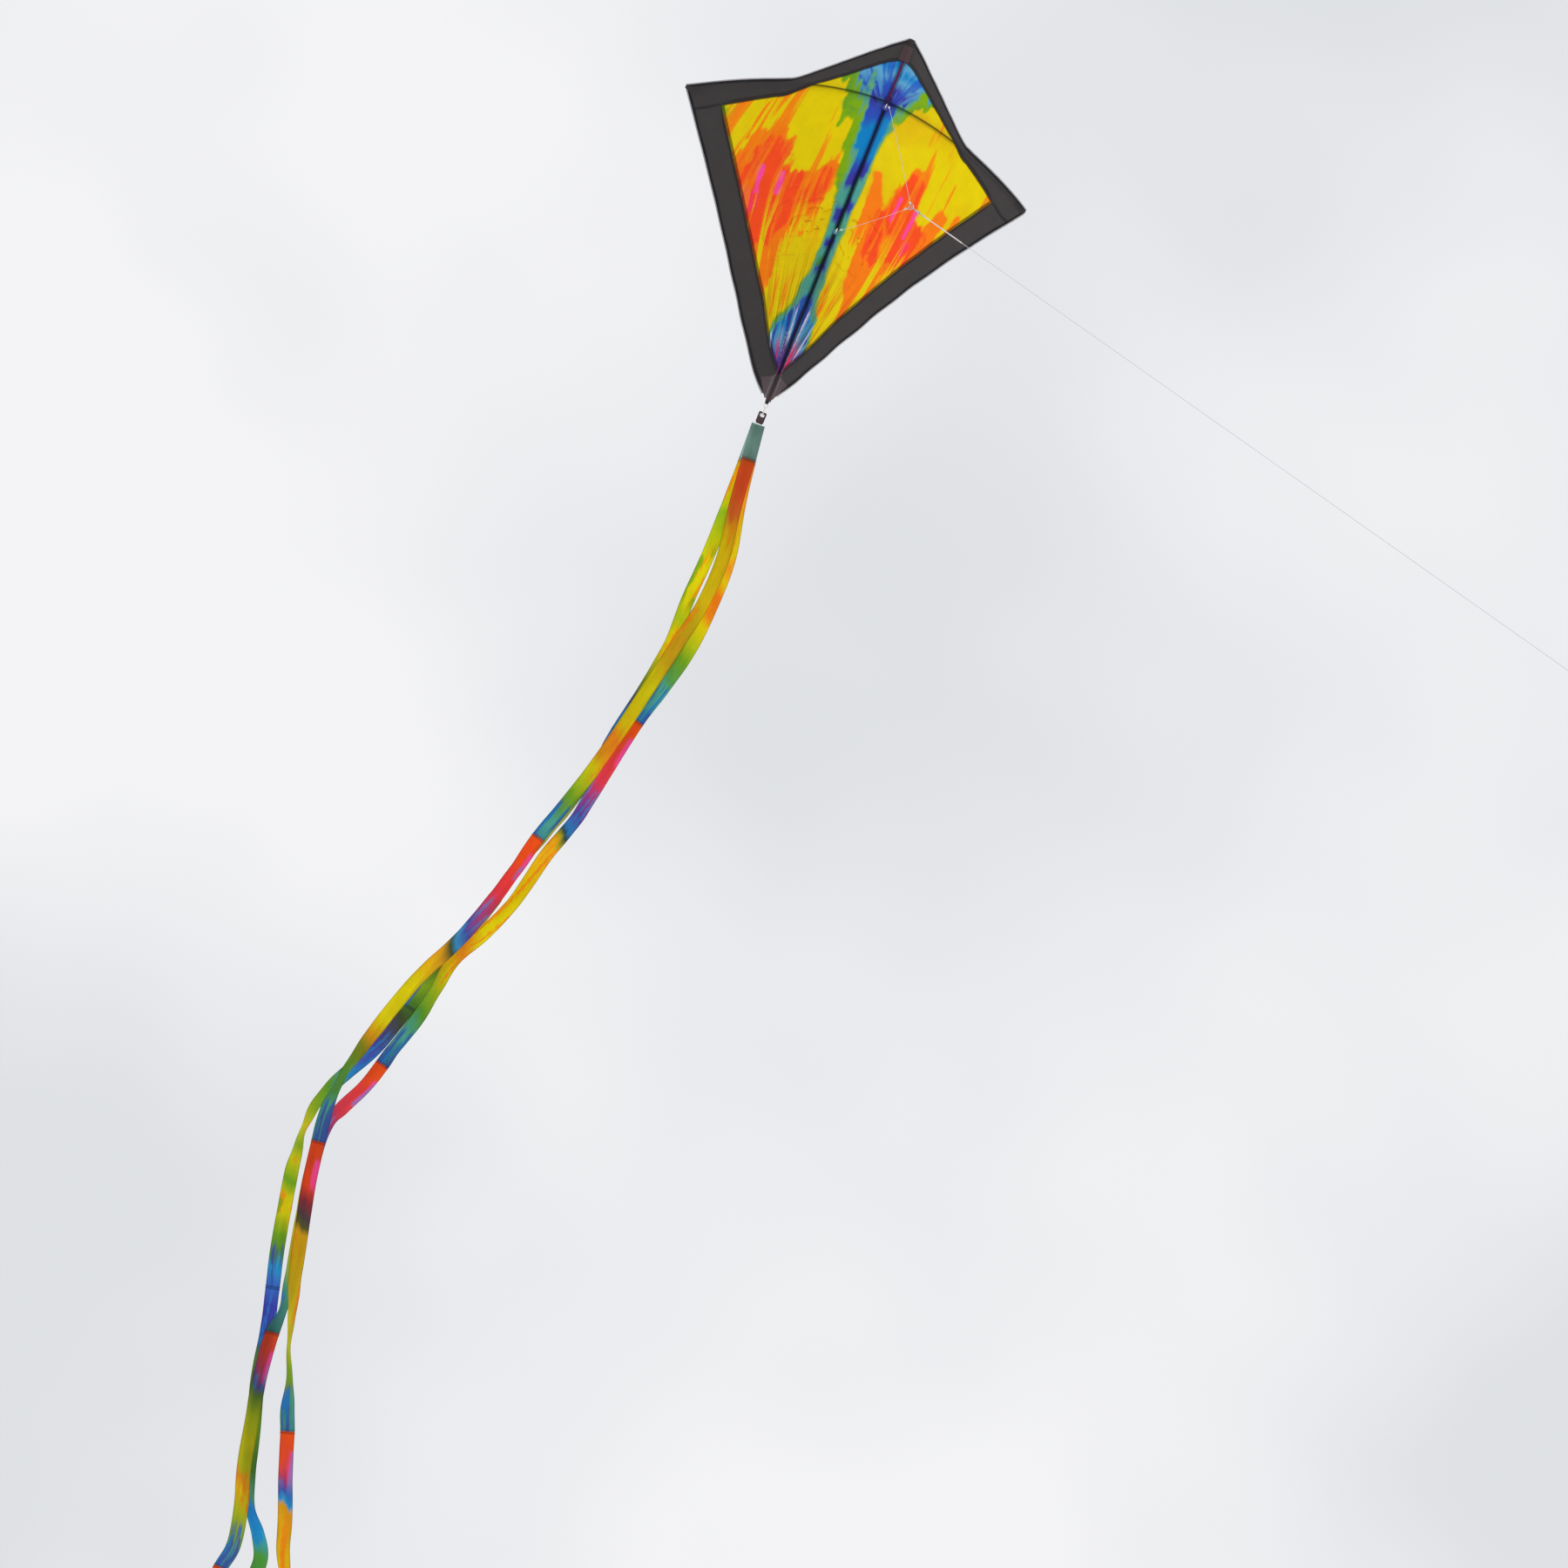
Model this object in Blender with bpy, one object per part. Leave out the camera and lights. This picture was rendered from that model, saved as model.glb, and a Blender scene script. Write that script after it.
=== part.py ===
# Diamond kite: a bowed fabric diamond on a spine and a two-part spar, with a two-leg bridle,
# a flying line on a snap swivel, and three long ribbon streamers. Metres, +Z up.
# The origin is where the spar crosses the spine, on the spine's axis. The face is towards -Y.
import math

import bpy
import bmesh
from mathutils import Matrix, Vector

# ---- driving dimensions -------------------------------------------------------------
SPINE_LENGTH = 0.762
NOSE_TO_SPAR = 0.136
HALF_SPAN = 0.313
BOW_DEPTH = {-1: 0.234, 1: 0.173}      # how far each tip is drawn back, left and right
BOW_POWER = 1.81
TIP_RISE = 0.010                        # the spar climbs this much from the middle to the right tip
KINK_AT = 0.53                          # fraction of the half span where the leading edge meets the spar
EDGE_OVER_SPAR = 0.005
KINK_SOFTNESS = 0.008
TRAILING_POWER = 0.60
TAIL_FOLD = 0.03                        # rounds the fold of the fabric over the spine near the tail
TRAILING_HOLLOW = {-1: 0.020, 1: 0.038}
BILLOW = 0.014

ROD_RADIUS = 0.0020
SPAR_RADIUS = 0.0015
SLEEVE_RADIUS = 0.0031
SLEEVE_WALL = 0.0006
ROD_GAP = 0.0003

SAIL_THICKNESS = 0.0006
SAIL_STANDOFF = 0.0055                  # from the spar's axis to the back of the fabric
SPINE_SLIT = 0.0015                     # half the slit between the two wings, over the spine
BORDER_LEADING = 0.050                  # border width measured along Z, near the nose
BORDER_LEADING_TIP = 0.041
BORDER_TRAILING = 0.079
BORDER_TRAILING_TAIL = 0.055
SEAM_GAP = 0.0005
HEM_RADIUS = 0.0011
TIP_END = 0.985

SOCKET_START = 0.0085
SOCKET_END = 0.029
SOCKET_RADIUS = 0.0032
POCKET_LENGTH = 0.034

CONNECTOR_SIZE = (0.0140, 0.0123, 0.0240)
CONNECTOR_FRONT = -0.0034

UPPER_BRIDLE_Z = -0.012
LOWER_BRIDLE_Z = -0.275
BRIDLE_AXIS_Y = -0.0126
TOW_POINT = Vector((0.094, -0.120, -0.232))
LINE_DIRECTION = Vector((0.532, -0.680, -0.504)).normalized()
BRIDLE_CORD_RADIUS = 0.0007
LINE_RADIUS = 0.0006
LINE_LENGTH = 2.03
LINE_START = 0.0375                     # from the tow point to the end of the swivel

TAIL_Z = NOSE_TO_SPAR - SPINE_LENGTH
ANCHOR_Z = TAIL_Z - 0.006
LINK_BOTTOM_Z = ANCHOR_Z - 0.018
TAB_TOP_Z = ANCHOR_Z - 0.013
TAB_BOTTOM_Z = ANCHOR_Z - 0.036
TAB_WIDTH = 0.014
TAB_THICKNESS = 0.0010
EYELET_Z = LINK_BOTTOM_Z - 0.0014

RIBBON_WIDTH = 0.023
RIBBON_THICKNESS = 0.0008
RIBBON_STEP = 0.040                     # length of one facet along a ribbon
SEAM_WIDTH = 0.0006                     # the gap between two sewn panels

# Each streamer's route from the tab down: x, y, z and its turn about its own run in degrees.
STREAMER_ROUTES = {
    "front_streamer": [
        (0.000, -0.0016, -0.6705, 0), (0.006, -0.002, -0.739, 0), (0.015, 0.003, -0.827, 14),
        (0.029, 0.012, -0.923, 10), (0.027, 0.022, -1.010, -12), (0.013, 0.034, -1.093, 8),
        (-0.004, 0.042, -1.186, 0), (-0.022, 0.048, -1.281, 10), (-0.041, 0.052, -1.367, 0),
        (-0.063, 0.054, -1.446, 12), (-0.081, 0.054, -1.508, 0), (-0.097, 0.053, -1.584, 20),
        (-0.120, 0.049, -1.674, 0), (-0.144, 0.045, -1.746, -15), (-0.176, 0.038, -1.821, 10),
        (-0.202, 0.029, -1.906, 0), (-0.222, 0.018, -1.987, 30), (-0.236, 0.008, -2.055, 60),
        (-0.239, -0.005, -2.120, 25), (-0.231, -0.016, -2.190, 0), (-0.222, -0.028, -2.255, 12),
        (-0.206, -0.042, -2.335, 0), (-0.190, -0.056, -2.412, 30), (-0.173, -0.070, -2.475, 62),
        (-0.158, -0.082, -2.537, 84), (-0.137, -0.094, -2.596, 70), (-0.125, -0.104, -2.640, 25),
        (-0.111, -0.112, -2.680, 0), (-0.092, -0.122, -2.742, 0), (-0.069, -0.132, -2.808, 14),
        (-0.050, -0.138, -2.868, 35), (-0.029, -0.140, -2.912, 55), (-0.014, -0.140, -2.950, 20),
    ],
    "middle_streamer": [
        (0.000, 0.0000, -0.6705, 0), (0.009, 0.005, -0.738, 0), (0.021, 0.014, -0.815, 10),
        (0.041, 0.030, -0.907, 0), (0.044, 0.044, -0.990, 12), (0.039, 0.058, -1.077, 0),
        (0.022, 0.068, -1.161, 15), (0.003, 0.074, -1.233, 0), (-0.015, 0.078, -1.339, 0),
        (-0.032, 0.080, -1.441, 18), (-0.055, 0.080, -1.519, 0), (-0.075, 0.080, -1.616, 20),
        (-0.103, 0.078, -1.695, 0), (-0.132, 0.076, -1.756, 12), (-0.142, 0.072, -1.821, 35),
        (-0.154, 0.066, -1.889, 10), (-0.171, 0.058, -1.951, 20), (-0.179, 0.052, -1.987, 0),
        (-0.192, 0.045, -2.036, 12), (-0.213, 0.038, -2.087, 0), (-0.225, 0.032, -2.128, 45),
        (-0.224, 0.020, -2.207, 30), (-0.208, 0.004, -2.305, 0), (-0.191, -0.012, -2.401, 25),
        (-0.184, -0.024, -2.467, 58), (-0.187, -0.032, -2.510, 15), (-0.179, -0.046, -2.595, 0),
        (-0.166, -0.058, -2.666, 18), (-0.152, -0.070, -2.742, 0), (-0.133, -0.080, -2.809, 10),
        (-0.122, -0.086, -2.872, 0), (-0.128, -0.088, -2.915, 14), (-0.132, -0.090, -2.968, 0),
    ],
    "back_streamer": [
        (0.000, 0.0016, -0.6705, 0), (0.003, 0.012, -0.740, 0), (0.005, 0.026, -0.821, -10),
        (0.007, 0.046, -0.912, 0), (0.005, 0.066, -0.996, 0), (0.007, 0.084, -1.071, -14),
        (-0.003, 0.098, -1.159, 0), (-0.019, 0.104, -1.249, 0), (-0.029, 0.106, -1.323, 40),
        (-0.042, 0.106, -1.407, 70), (-0.064, 0.106, -1.477, 62), (-0.085, 0.106, -1.553, 74),
        (-0.108, 0.104, -1.658, 62), (-0.135, 0.102, -1.730, 22), (-0.156, 0.099, -1.801, 0),
        (-0.176, 0.094, -1.881, 12), (-0.198, 0.086, -1.955, 0), (-0.225, 0.078, -2.013, 0),
        (-0.243, 0.070, -2.057, 20), (-0.255, 0.062, -2.104, 48), (-0.257, 0.050, -2.158, 66),
        (-0.251, 0.038, -2.220, 20), (-0.239, 0.024, -2.294, 0), (-0.226, 0.010, -2.366, 10),
        (-0.210, -0.004, -2.436, 0), (-0.194, -0.016, -2.507, 0), (-0.181, -0.030, -2.587, 18),
        (-0.158, -0.040, -2.670, 0), (-0.139, -0.050, -2.744, 30), (-0.116, -0.054, -2.798, 62),
        (-0.090, -0.056, -2.832, 40), (-0.072, -0.057, -2.868, 10), (-0.073, -0.060, -2.918, 0),
        (-0.076, -0.062, -2.970, 0),
    ],
}
# Where each streamer's seams are, as heights. The first panel is the short header under the tab.
STREAMER_SEAMS = {
    "front_streamer": (-0.739, -1.508, -2.177, -2.676),
    "middle_streamer": (-0.739, -1.233, -1.987, -2.510, -2.915),
    "back_streamer": (-0.739, -1.250, -1.860, -2.430),
}


# ---- scene and materials --------------------------------------------------------------
def clear_scene():
    for item in list(bpy.data.objects):
        bpy.data.objects.remove(item, do_unlink=True)


def make_material(name, colour, roughness, metallic=0.0):
    made = bpy.data.materials.new(name)
    made.use_nodes = True
    shader = made.node_tree.nodes["Principled BSDF"]
    shader.inputs["Base Color"].default_value = (*colour, 1.0)
    shader.inputs["Roughness"].default_value = roughness
    shader.inputs["Metallic"].default_value = metallic
    return made


clear_scene()
ripstop_dyed = make_material("dyed ripstop", (0.85, 0.62, 0.02), 0.55)
ripstop_black = make_material("black ripstop", (0.035, 0.033, 0.035), 0.6)
hem_tape = make_material("black hem tape", (0.012, 0.012, 0.014), 0.6)
maroon_webbing = make_material("maroon webbing", (0.16, 0.012, 0.02), 0.7)
fibreglass = make_material("black fibreglass", (0.02, 0.02, 0.022), 0.35)
vinyl = make_material("black vinyl", (0.015, 0.015, 0.016), 0.45)
white_cord = make_material("white braided cord", (0.8, 0.78, 0.74), 0.6)
nickel = make_material("nickel plated steel", (0.62, 0.60, 0.57), 0.25, 1.0)
ribbon_cloth = make_material("dyed ribbon", (0.9, 0.30, 0.02), 0.55)


def body(name, pivot):
    empty = bpy.data.objects.new("pivot_" + name, None)
    empty.location = pivot
    bpy.context.scene.collection.objects.link(empty)
    return empty


def add_node(name, data, material, parent):
    item = bpy.data.objects.new(name, data)
    bpy.context.scene.collection.objects.link(item)
    if not data.materials:
        data.materials.append(material)
    item.parent = parent
    item.matrix_parent_inverse = Matrix.Translation(-parent.location)
    return item


# ---- shapes ---------------------------------------------------------------------------
def lofted(name, sections, material, parent, closed=False):
    # One closed solid through a row of sections that have the same number of points.
    bm = bmesh.new()
    rows = [[bm.verts.new(point) for point in section] for section in sections]
    around = len(rows[0])
    pairs = list(zip(rows, rows[1:]))
    if closed:
        pairs.append((rows[-1], rows[0]))
    for low, high in pairs:
        for i in range(around):
            j = (i + 1) % around
            bm.faces.new((low[i], low[j], high[j], high[i]))
    if not closed:
        bm.faces.new(rows[0])
        bm.faces.new(list(reversed(rows[-1])))
    bmesh.ops.recalc_face_normals(bm, faces=bm.faces)
    mesh = bpy.data.meshes.new(name)
    bm.to_mesh(mesh)
    bm.free()
    return add_node(name, mesh, material, parent)


def sheet_between(name, front, back, material, parent):
    # A thin closed solid between two grids of points with the same rows and columns.
    bm = bmesh.new()
    grids = [[[bm.verts.new(point) for point in row] for row in grid] for grid in (front, back)]
    rows, columns = len(front), len(front[0])
    for grid in grids:
        for i in range(rows - 1):
            for j in range(columns - 1):
                # Both skins split along the same diagonal, so the sheet keeps its thickness where it twists.
                bm.faces.new((grid[i][j], grid[i + 1][j], grid[i + 1][j + 1]))
                bm.faces.new((grid[i][j], grid[i + 1][j + 1], grid[i][j + 1]))
    rim = [(i, 0) for i in range(rows)] + [(rows - 1, j) for j in range(1, columns)]
    rim += [(i, columns - 1) for i in range(rows - 2, -1, -1)] + [(0, j) for j in range(columns - 2, 0, -1)]
    for (i, j), (k, m) in zip(rim, rim[1:] + rim[:1]):
        bm.faces.new((grids[0][i][j], grids[1][i][j], grids[1][k][m], grids[0][k][m]))
    bmesh.ops.recalc_face_normals(bm, faces=bm.faces)
    mesh = bpy.data.meshes.new(name)
    bm.to_mesh(mesh)
    bm.free()
    return add_node(name, mesh, material, parent)


def frame_along(direction):
    # Two unit vectors across a direction.
    across = direction.cross(Vector((0, 0, 1)))
    if across.length < 1e-4:
        across = Vector((1, 0, 0))
    across.normalize()
    return across, across.cross(direction).normalized()


def turned(name, profile, start, direction, material, parent, steps=14):
    # A turned piece. The profile is a closed loop of (distance along, radius) that stays off the axis,
    # or an open one that starts and ends on it.
    across, up = frame_along(direction)
    on_axis = profile[0][1] == 0
    bm = bmesh.new()
    rings = []
    for along, radius in profile:
        centre = start + direction * along
        if radius == 0:
            rings.append([bm.verts.new(centre)] * steps)
            continue
        angles = [2 * math.pi * k / steps for k in range(steps)]
        rings.append([bm.verts.new(centre + (across * math.cos(a) + up * math.sin(a)) * radius) for a in angles])
    pairs = list(zip(rings, rings[1:]))
    if not on_axis:
        pairs.append((rings[-1], rings[0]))
    for low, high in pairs:
        for k in range(steps):
            m = (k + 1) % steps
            corners = list(dict.fromkeys((low[k], low[m], high[m], high[k])))
            bm.faces.new(corners)
    bmesh.ops.recalc_face_normals(bm, faces=bm.faces)
    mesh = bpy.data.meshes.new(name)
    bm.to_mesh(mesh)
    bm.free()
    made = add_node(name, mesh, material, parent)
    mesh.shade_smooth()
    return made


def tube(name, points, radius, material, parent):
    curve = bpy.data.curves.new(name, "CURVE")
    curve.dimensions = "3D"
    curve.bevel_depth = radius
    curve.bevel_resolution = 2
    curve.use_fill_caps = True
    spline = curve.splines.new("POLY")
    spline.points.add(len(points) - 1)
    for point, place in zip(spline.points, points):
        point.co = (*place, 1.0)
    return add_node(name, curve, material, parent)


def wire_loop(name, centre, long_axis, short_axis, half_length, half_width, wire, material, parent, steps=24):
    # A closed wire bent to a stadium, or to a ring where both halves are equal.
    normal = long_axis.cross(short_axis).normalized()
    straight = half_length - half_width
    sections = []
    for k in range(steps):
        angle = 2 * math.pi * (k + 0.5) / steps
        shift = math.copysign(straight, math.cos(angle))
        out = long_axis * math.cos(angle) + short_axis * math.sin(angle)
        middle = centre + out * half_width + long_axis * shift
        angles = [2 * math.pi * m / 8 for m in range(8)]
        sections.append([middle + (out * math.cos(a) + normal * math.sin(a)) * wire for a in angles])
    return lofted(name, sections, material, parent, closed=True)


def extruded(name, outline, low_y, high_y, material, parent):
    # A flat outline in X and Z, made solid along Y.
    front = [Vector((x, low_y, z)) for x, z in outline]
    back = [Vector((x, high_y, z)) for x, z in outline]
    return lofted(name, [front, back], material, parent)


# ---- the bowed sail -------------------------------------------------------------------
def spar_z(side, u):
    return TIP_RISE * side * u


def spar_y(side, u):
    return BOW_DEPTH[side] * u ** BOW_POWER


def spar_point(side, u):
    return Vector((side * u * HALF_SPAN, spar_y(side, u), spar_z(side, u)))


def leading_z(side, u):
    line = NOSE_TO_SPAR * (1 - u / KINK_AT) - EDGE_OVER_SPAR
    return spar_z(side, u) + EDGE_OVER_SPAR + 0.5 * (line + math.hypot(line, KINK_SOFTNESS))


def trailing_z(side, u):
    return TAIL_Z * (1 - u) + spar_z(side, u) + TRAILING_HOLLOW[side] * math.sin(math.pi * u)


def leading_y(side, u):
    if u >= KINK_AT:
        return spar_y(side, u)
    return spar_y(side, KINK_AT) * (u / KINK_AT) ** 1.06


def surface_y(side, u, z):
    # The fabric's depth: the bowed spar in the middle, flatter towards both edges.
    middle = spar_z(side, u)
    if z >= middle:
        share = (z - middle) / max(leading_z(side, u) - middle, 1e-6)
        return spar_y(side, u) + (leading_y(side, u) - spar_y(side, u)) * min(share, 1.0)
    share = min((middle - z) / max(middle - trailing_z(side, u), 1e-6), 1.0)
    rounded = (math.hypot(u, TAIL_FOLD) - TAIL_FOLD) / (math.hypot(1.0, TAIL_FOLD) - TAIL_FOLD)
    edge = BOW_DEPTH[side] * rounded ** TRAILING_POWER
    belly = BILLOW * math.sin(math.pi * share) * math.sin(math.pi * u)
    return spar_y(side, u) + (edge - spar_y(side, u)) * share ** 1.3 + belly


def sail_point(side, u, z, standoff):
    # A point of the fabric, moved off the surface towards the face.
    step = 0.01
    slope = (surface_y(side, u + step, z) - surface_y(side, u, z)) / (step * HALF_SPAN)
    slope = min(slope, 1.9)
    size = math.hypot(1.0, slope)
    x = side * (u * HALF_SPAN + standoff * slope / size)
    return Vector((x, surface_y(side, u, z) - standoff / size, z))


def border_leading(u):
    return BORDER_LEADING + (BORDER_LEADING_TIP - BORDER_LEADING) * min(u / KINK_AT, 1.0)


def border_trailing(u):
    return BORDER_TRAILING_TAIL + (BORDER_TRAILING - BORDER_TRAILING_TAIL) * min(u / 0.2, 1.0)


def inner_leading(side, u):
    nose_round = 0.010 * math.exp(-((u / 0.07) ** 2))
    return leading_z(side, u) - border_leading(u) - nose_round


def inner_trailing(side, u):
    return trailing_z(side, u) + border_trailing(u)


def last_u(low, high, side, least=0.002):
    # The largest u at which the strip between two edges is still taller than the least height.
    u = 1.0
    while high(side, u) - low(side, u) < least:
        u -= 0.001
    return u


def spaced(start, end, steps):
    return [start + (end - start) * k / steps for k in range(steps + 1)]


def sail_piece(name, side, low, high, stations, rows, material, parent):
    front = []
    back = []
    for u in stations:
        bottom, top = low(side, u), high(side, u)
        heights = [bottom + (top - bottom) * j / rows for j in range(rows + 1)]
        front.append([sail_point(side, u, z, SAIL_STANDOFF + SAIL_THICKNESS) for z in heights])
        back.append([sail_point(side, u, z, SAIL_STANDOFF) for z in heights])
    return sheet_between(name, front, back, material, parent)


def make_wing(side, word):
    wing = body(word + "_wing", Vector((0, 0, 0)))
    slit = SPINE_SLIT / HALF_SPAN

    def panel_low(s, u):
        return inner_trailing(s, u) + SEAM_GAP

    def panel_high(s, u):
        return inner_leading(s, u) - SEAM_GAP

    def leading_low(s, u):
        return max(inner_leading(s, u), trailing_z(s, u))

    def trailing_high(s, u):
        return min(inner_trailing(s, u), inner_leading(s, u) - SEAM_GAP)

    panel_end = last_u(panel_low, panel_high, side)
    trailing_end = last_u(trailing_z, trailing_high, side)
    inner = spaced(slit, panel_end, 18)
    outer = inner + spaced(panel_end, trailing_end, 3)[1:]
    whole = outer + spaced(trailing_end, TIP_END, 3)[1:]
    sail_piece(word + "_sail_panel", side, panel_low, panel_high, inner, 12, ripstop_dyed, wing)
    sail_piece(word + "_leading_border", side, leading_low, leading_z, whole, 2, ripstop_black, wing)
    sail_piece(word + "_trailing_border", side, trailing_z, trailing_high, outer, 2, ripstop_black, wing)

    steps = 30
    middle = SAIL_STANDOFF + SAIL_THICKNESS / 2
    clear = HEM_RADIUS + ROD_GAP
    shares = [slit * 1.5 + (TIP_END - slit * 1.5) * k / steps for k in range(steps + 1)]
    over = [sail_point(side, u, leading_z(side, u), middle) + Vector((0, 0, clear * 1.5)) for u in shares]
    under = [sail_point(side, u, trailing_z(side, u), middle) + Vector((side * clear, 0, -clear)) for u in shares]
    tube(word + "_leading_hem", over, HEM_RADIUS, hem_tape, wing)
    tube(word + "_trailing_hem", under[:-1], HEM_RADIUS, hem_tape, wing)

    # The spar half, from its socket to its end cap in the tip pocket.
    first = (SOCKET_START + 0.0008) / HALF_SPAN
    last = 0.972
    run = [spar_point(side, first + (last - first) * k / 24) for k in range(25)]
    tube(word + "_spar", run, SPAR_RADIUS, fibreglass, wing)
    inner_start = spar_point(side, SOCKET_START / HALF_SPAN)
    inner_way = (spar_point(side, SOCKET_END / HALF_SPAN) - inner_start).normalized()
    bore = SPAR_RADIUS + ROD_GAP + 0.0003
    reach = SOCKET_END - SOCKET_START
    sleeve = [(0, bore), (reach, bore), (reach, SOCKET_RADIUS * 0.85), (0.004, SOCKET_RADIUS), (0, SOCKET_RADIUS)]
    turned(word + "_spar_socket", sleeve, inner_start, inner_way, vinyl, wing)
    out_way = (run[-1] - run[-2]).normalized()
    cap = [(0.0004, 0), (0.0004, 0.0021), (0.0040, 0.0021), (0.0052, 0.0014), (0.0052, 0)]
    turned(word + "_spar_cap", cap, run[-1], out_way, vinyl, wing)
    pocket_start = run[-1] - out_way * (POCKET_LENGTH - 0.008)
    wall_in, wall_out = 0.0027, 0.0037
    pocket = [(0, wall_in), (0, wall_out), (POCKET_LENGTH, wall_out * 0.9), (POCKET_LENGTH, 0)]
    pocket = [(POCKET_LENGTH - 0.0012, 0), (POCKET_LENGTH - 0.0012, wall_in)] + pocket
    turned(word + "_tip_pocket", pocket, pocket_start, out_way, ripstop_black, wing)


# ---- the rigid middle -----------------------------------------------------------------
def make_spine():
    frame = body("frame", Vector((0, 0, 0)))
    up = Vector((0, 0, 1))
    rod_bottom, rod_top = TAIL_Z + 0.006, NOSE_TO_SPAR - 0.003
    rod = [(0, 0), (0, ROD_RADIUS), (rod_top - rod_bottom, ROD_RADIUS), (rod_top - rod_bottom, 0)]
    turned("spine_rod", rod, Vector((0, 0, rod_bottom)), up, fibreglass, frame)

    bore = ROD_RADIUS + ROD_GAP
    cap = [(-0.014, bore), (-0.014, SLEEVE_RADIUS), (0.0016, SLEEVE_RADIUS), (0.0024, 0.0020), (0.0024, 0)]
    cap = [(0.0004, 0), (0.0004, bore)] + cap
    turned("nose_cap", cap, Vector((0, 0, rod_top)), up, vinyl, frame)
    turned("tail_cap", cap, Vector((0, 0, rod_bottom)), -up, vinyl, frame)

    half = CONNECTOR_SIZE[2] / 2
    upper = (half + 0.0006, rod_top - 0.0150)
    lower = (rod_bottom + 0.0150, -half - 0.0006)
    for name, (low, high) in (("spine_sleeve_upper", upper), ("spine_sleeve_lower", lower)):
        wall = SLEEVE_RADIUS - SLEEVE_WALL
        sleeve = [(0, wall), (high - low, wall), (high - low, SLEEVE_RADIUS), (0, SLEEVE_RADIUS)]
        turned(name, sleeve, Vector((0, 0, low)), up, ripstop_black, frame)

    # The cross connector: a moulded block with rounded edges that the spine passes through.
    width, depth, height = CONNECTOR_SIZE
    bm = bmesh.new()
    bmesh.ops.create_cube(bm, size=1.0)
    bmesh.ops.scale(bm, vec=(width, depth, height), verts=bm.verts)
    bmesh.ops.translate(bm, vec=(0, CONNECTOR_FRONT + depth / 2, 0), verts=bm.verts)
    mesh = bpy.data.meshes.new("cross_connector")
    bm.to_mesh(mesh)
    bm.free()
    connector = add_node("cross_connector", mesh, vinyl, frame)
    rounding = connector.modifiers.new("edges", "BEVEL")
    rounding.width = 0.0010
    rounding.segments = 2
    drill_mesh = bpy.data.meshes.new("connector_drill")
    bm = bmesh.new()
    bmesh.ops.create_cone(
        bm, cap_ends=True, segments=20, radius1=ROD_RADIUS + ROD_GAP, radius2=ROD_RADIUS + ROD_GAP, depth=0.05
    )
    bm.to_mesh(drill_mesh)
    bm.free()
    drill = bpy.data.objects.new("connector_drill", drill_mesh)
    bpy.context.scene.collection.objects.link(drill)
    drill.hide_render = True
    drill.display_type = "WIRE"
    cut = connector.modifiers.new("spine hole", "BOOLEAN")
    cut.operation = "DIFFERENCE"
    cut.object = drill

    # Webbing behind the nose and behind the tail, which the spine's ends push into.
    strap_back = 0.0048
    strap_thick = 0.0010
    strap = [(-0.0070, 0.086), (0.0070, 0.086), (0.0070, 0.1265), (0.0050, 0.1310), (-0.0050, 0.1310)]
    strap.append((-0.0070, 0.1265))
    extruded("nose_pocket", strap, strap_back, strap_back + strap_thick, maroon_webbing, frame)
    foot = [(-0.0055, TAIL_Z + 0.050), (0.0055, TAIL_Z + 0.050), (0.0030, TAIL_Z + 0.0005), (-0.0030, TAIL_Z + 0.0005)]
    extruded("tail_pocket", foot, strap_back, strap_back + strap_thick, maroon_webbing, frame)

    # Small reinforcing discs on the face, and the cord eyes that the bridle is tied to.
    disc_back = -SAIL_STANDOFF - SAIL_THICKNESS - 0.0011
    for word, z in (("upper", UPPER_BRIDLE_Z), ("lower", LOWER_BRIDLE_Z)):
        disc = [(0, 0), (0, 0.0060), (0.0005, 0.0056), (0.0005, 0)]
        turned(word + "_bridle_patch", disc, Vector((0, disc_back, z)), Vector((0, -1, 0)), maroon_webbing, frame)
        eye = Vector((0, BRIDLE_AXIS_Y, z))
        depth_axis = Vector((0, 1, 0))
        wire_loop(
            word + "_bridle_eye", eye, up, depth_axis, 0.0037, 0.0037, BRIDLE_CORD_RADIUS, white_cord, frame, 20
        )
    anchor = Vector((0, 0, ANCHOR_Z))
    wire_loop("tail_anchor", anchor, up, Vector((1, 0, 0)), 0.0035, 0.0035, 0.0007, white_cord, frame, 20)


# ---- bridle, snap swivel and flying line ---------------------------------------------
def sagging(start, end, sag, count):
    # A cord between two points that bends down a little in the middle.
    points = []
    for k in range(count + 1):
        share = k / count
        drop = Vector((0, 0, -4 * sag * share * (1 - share)))
        points.append(start.lerp(end, share) + drop)
    return points


def make_bridle():
    bridle = body("bridle", Vector((0, BRIDLE_AXIS_Y, 0)))
    outward = Vector((TOW_POINT.x, TOW_POINT.y - BRIDLE_AXIS_Y, 0)).normalized()
    ring_radius = 0.0050
    ring_wire = 0.0009
    for word, z, sag in (("upper", UPPER_BRIDLE_Z, -0.002), ("lower", LOWER_BRIDLE_Z, 0.003)):
        start = Vector((0, BRIDLE_AXIS_Y, z)) + outward * 0.0060
        toward = (TOW_POINT - start).normalized()
        end = TOW_POINT - toward * (ring_radius + ring_wire + BRIDLE_CORD_RADIUS + ROD_GAP)
        points = sagging(start, end, sag, 24)
        tube(word + "_bridle_leg", points, BRIDLE_CORD_RADIUS, white_cord, bridle)
    wire_loop(
        "tow_ring", TOW_POINT, Vector((0, 0, 1)), outward, ring_radius, ring_radius, ring_wire, nickel, bridle
    )
    return outward


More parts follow.
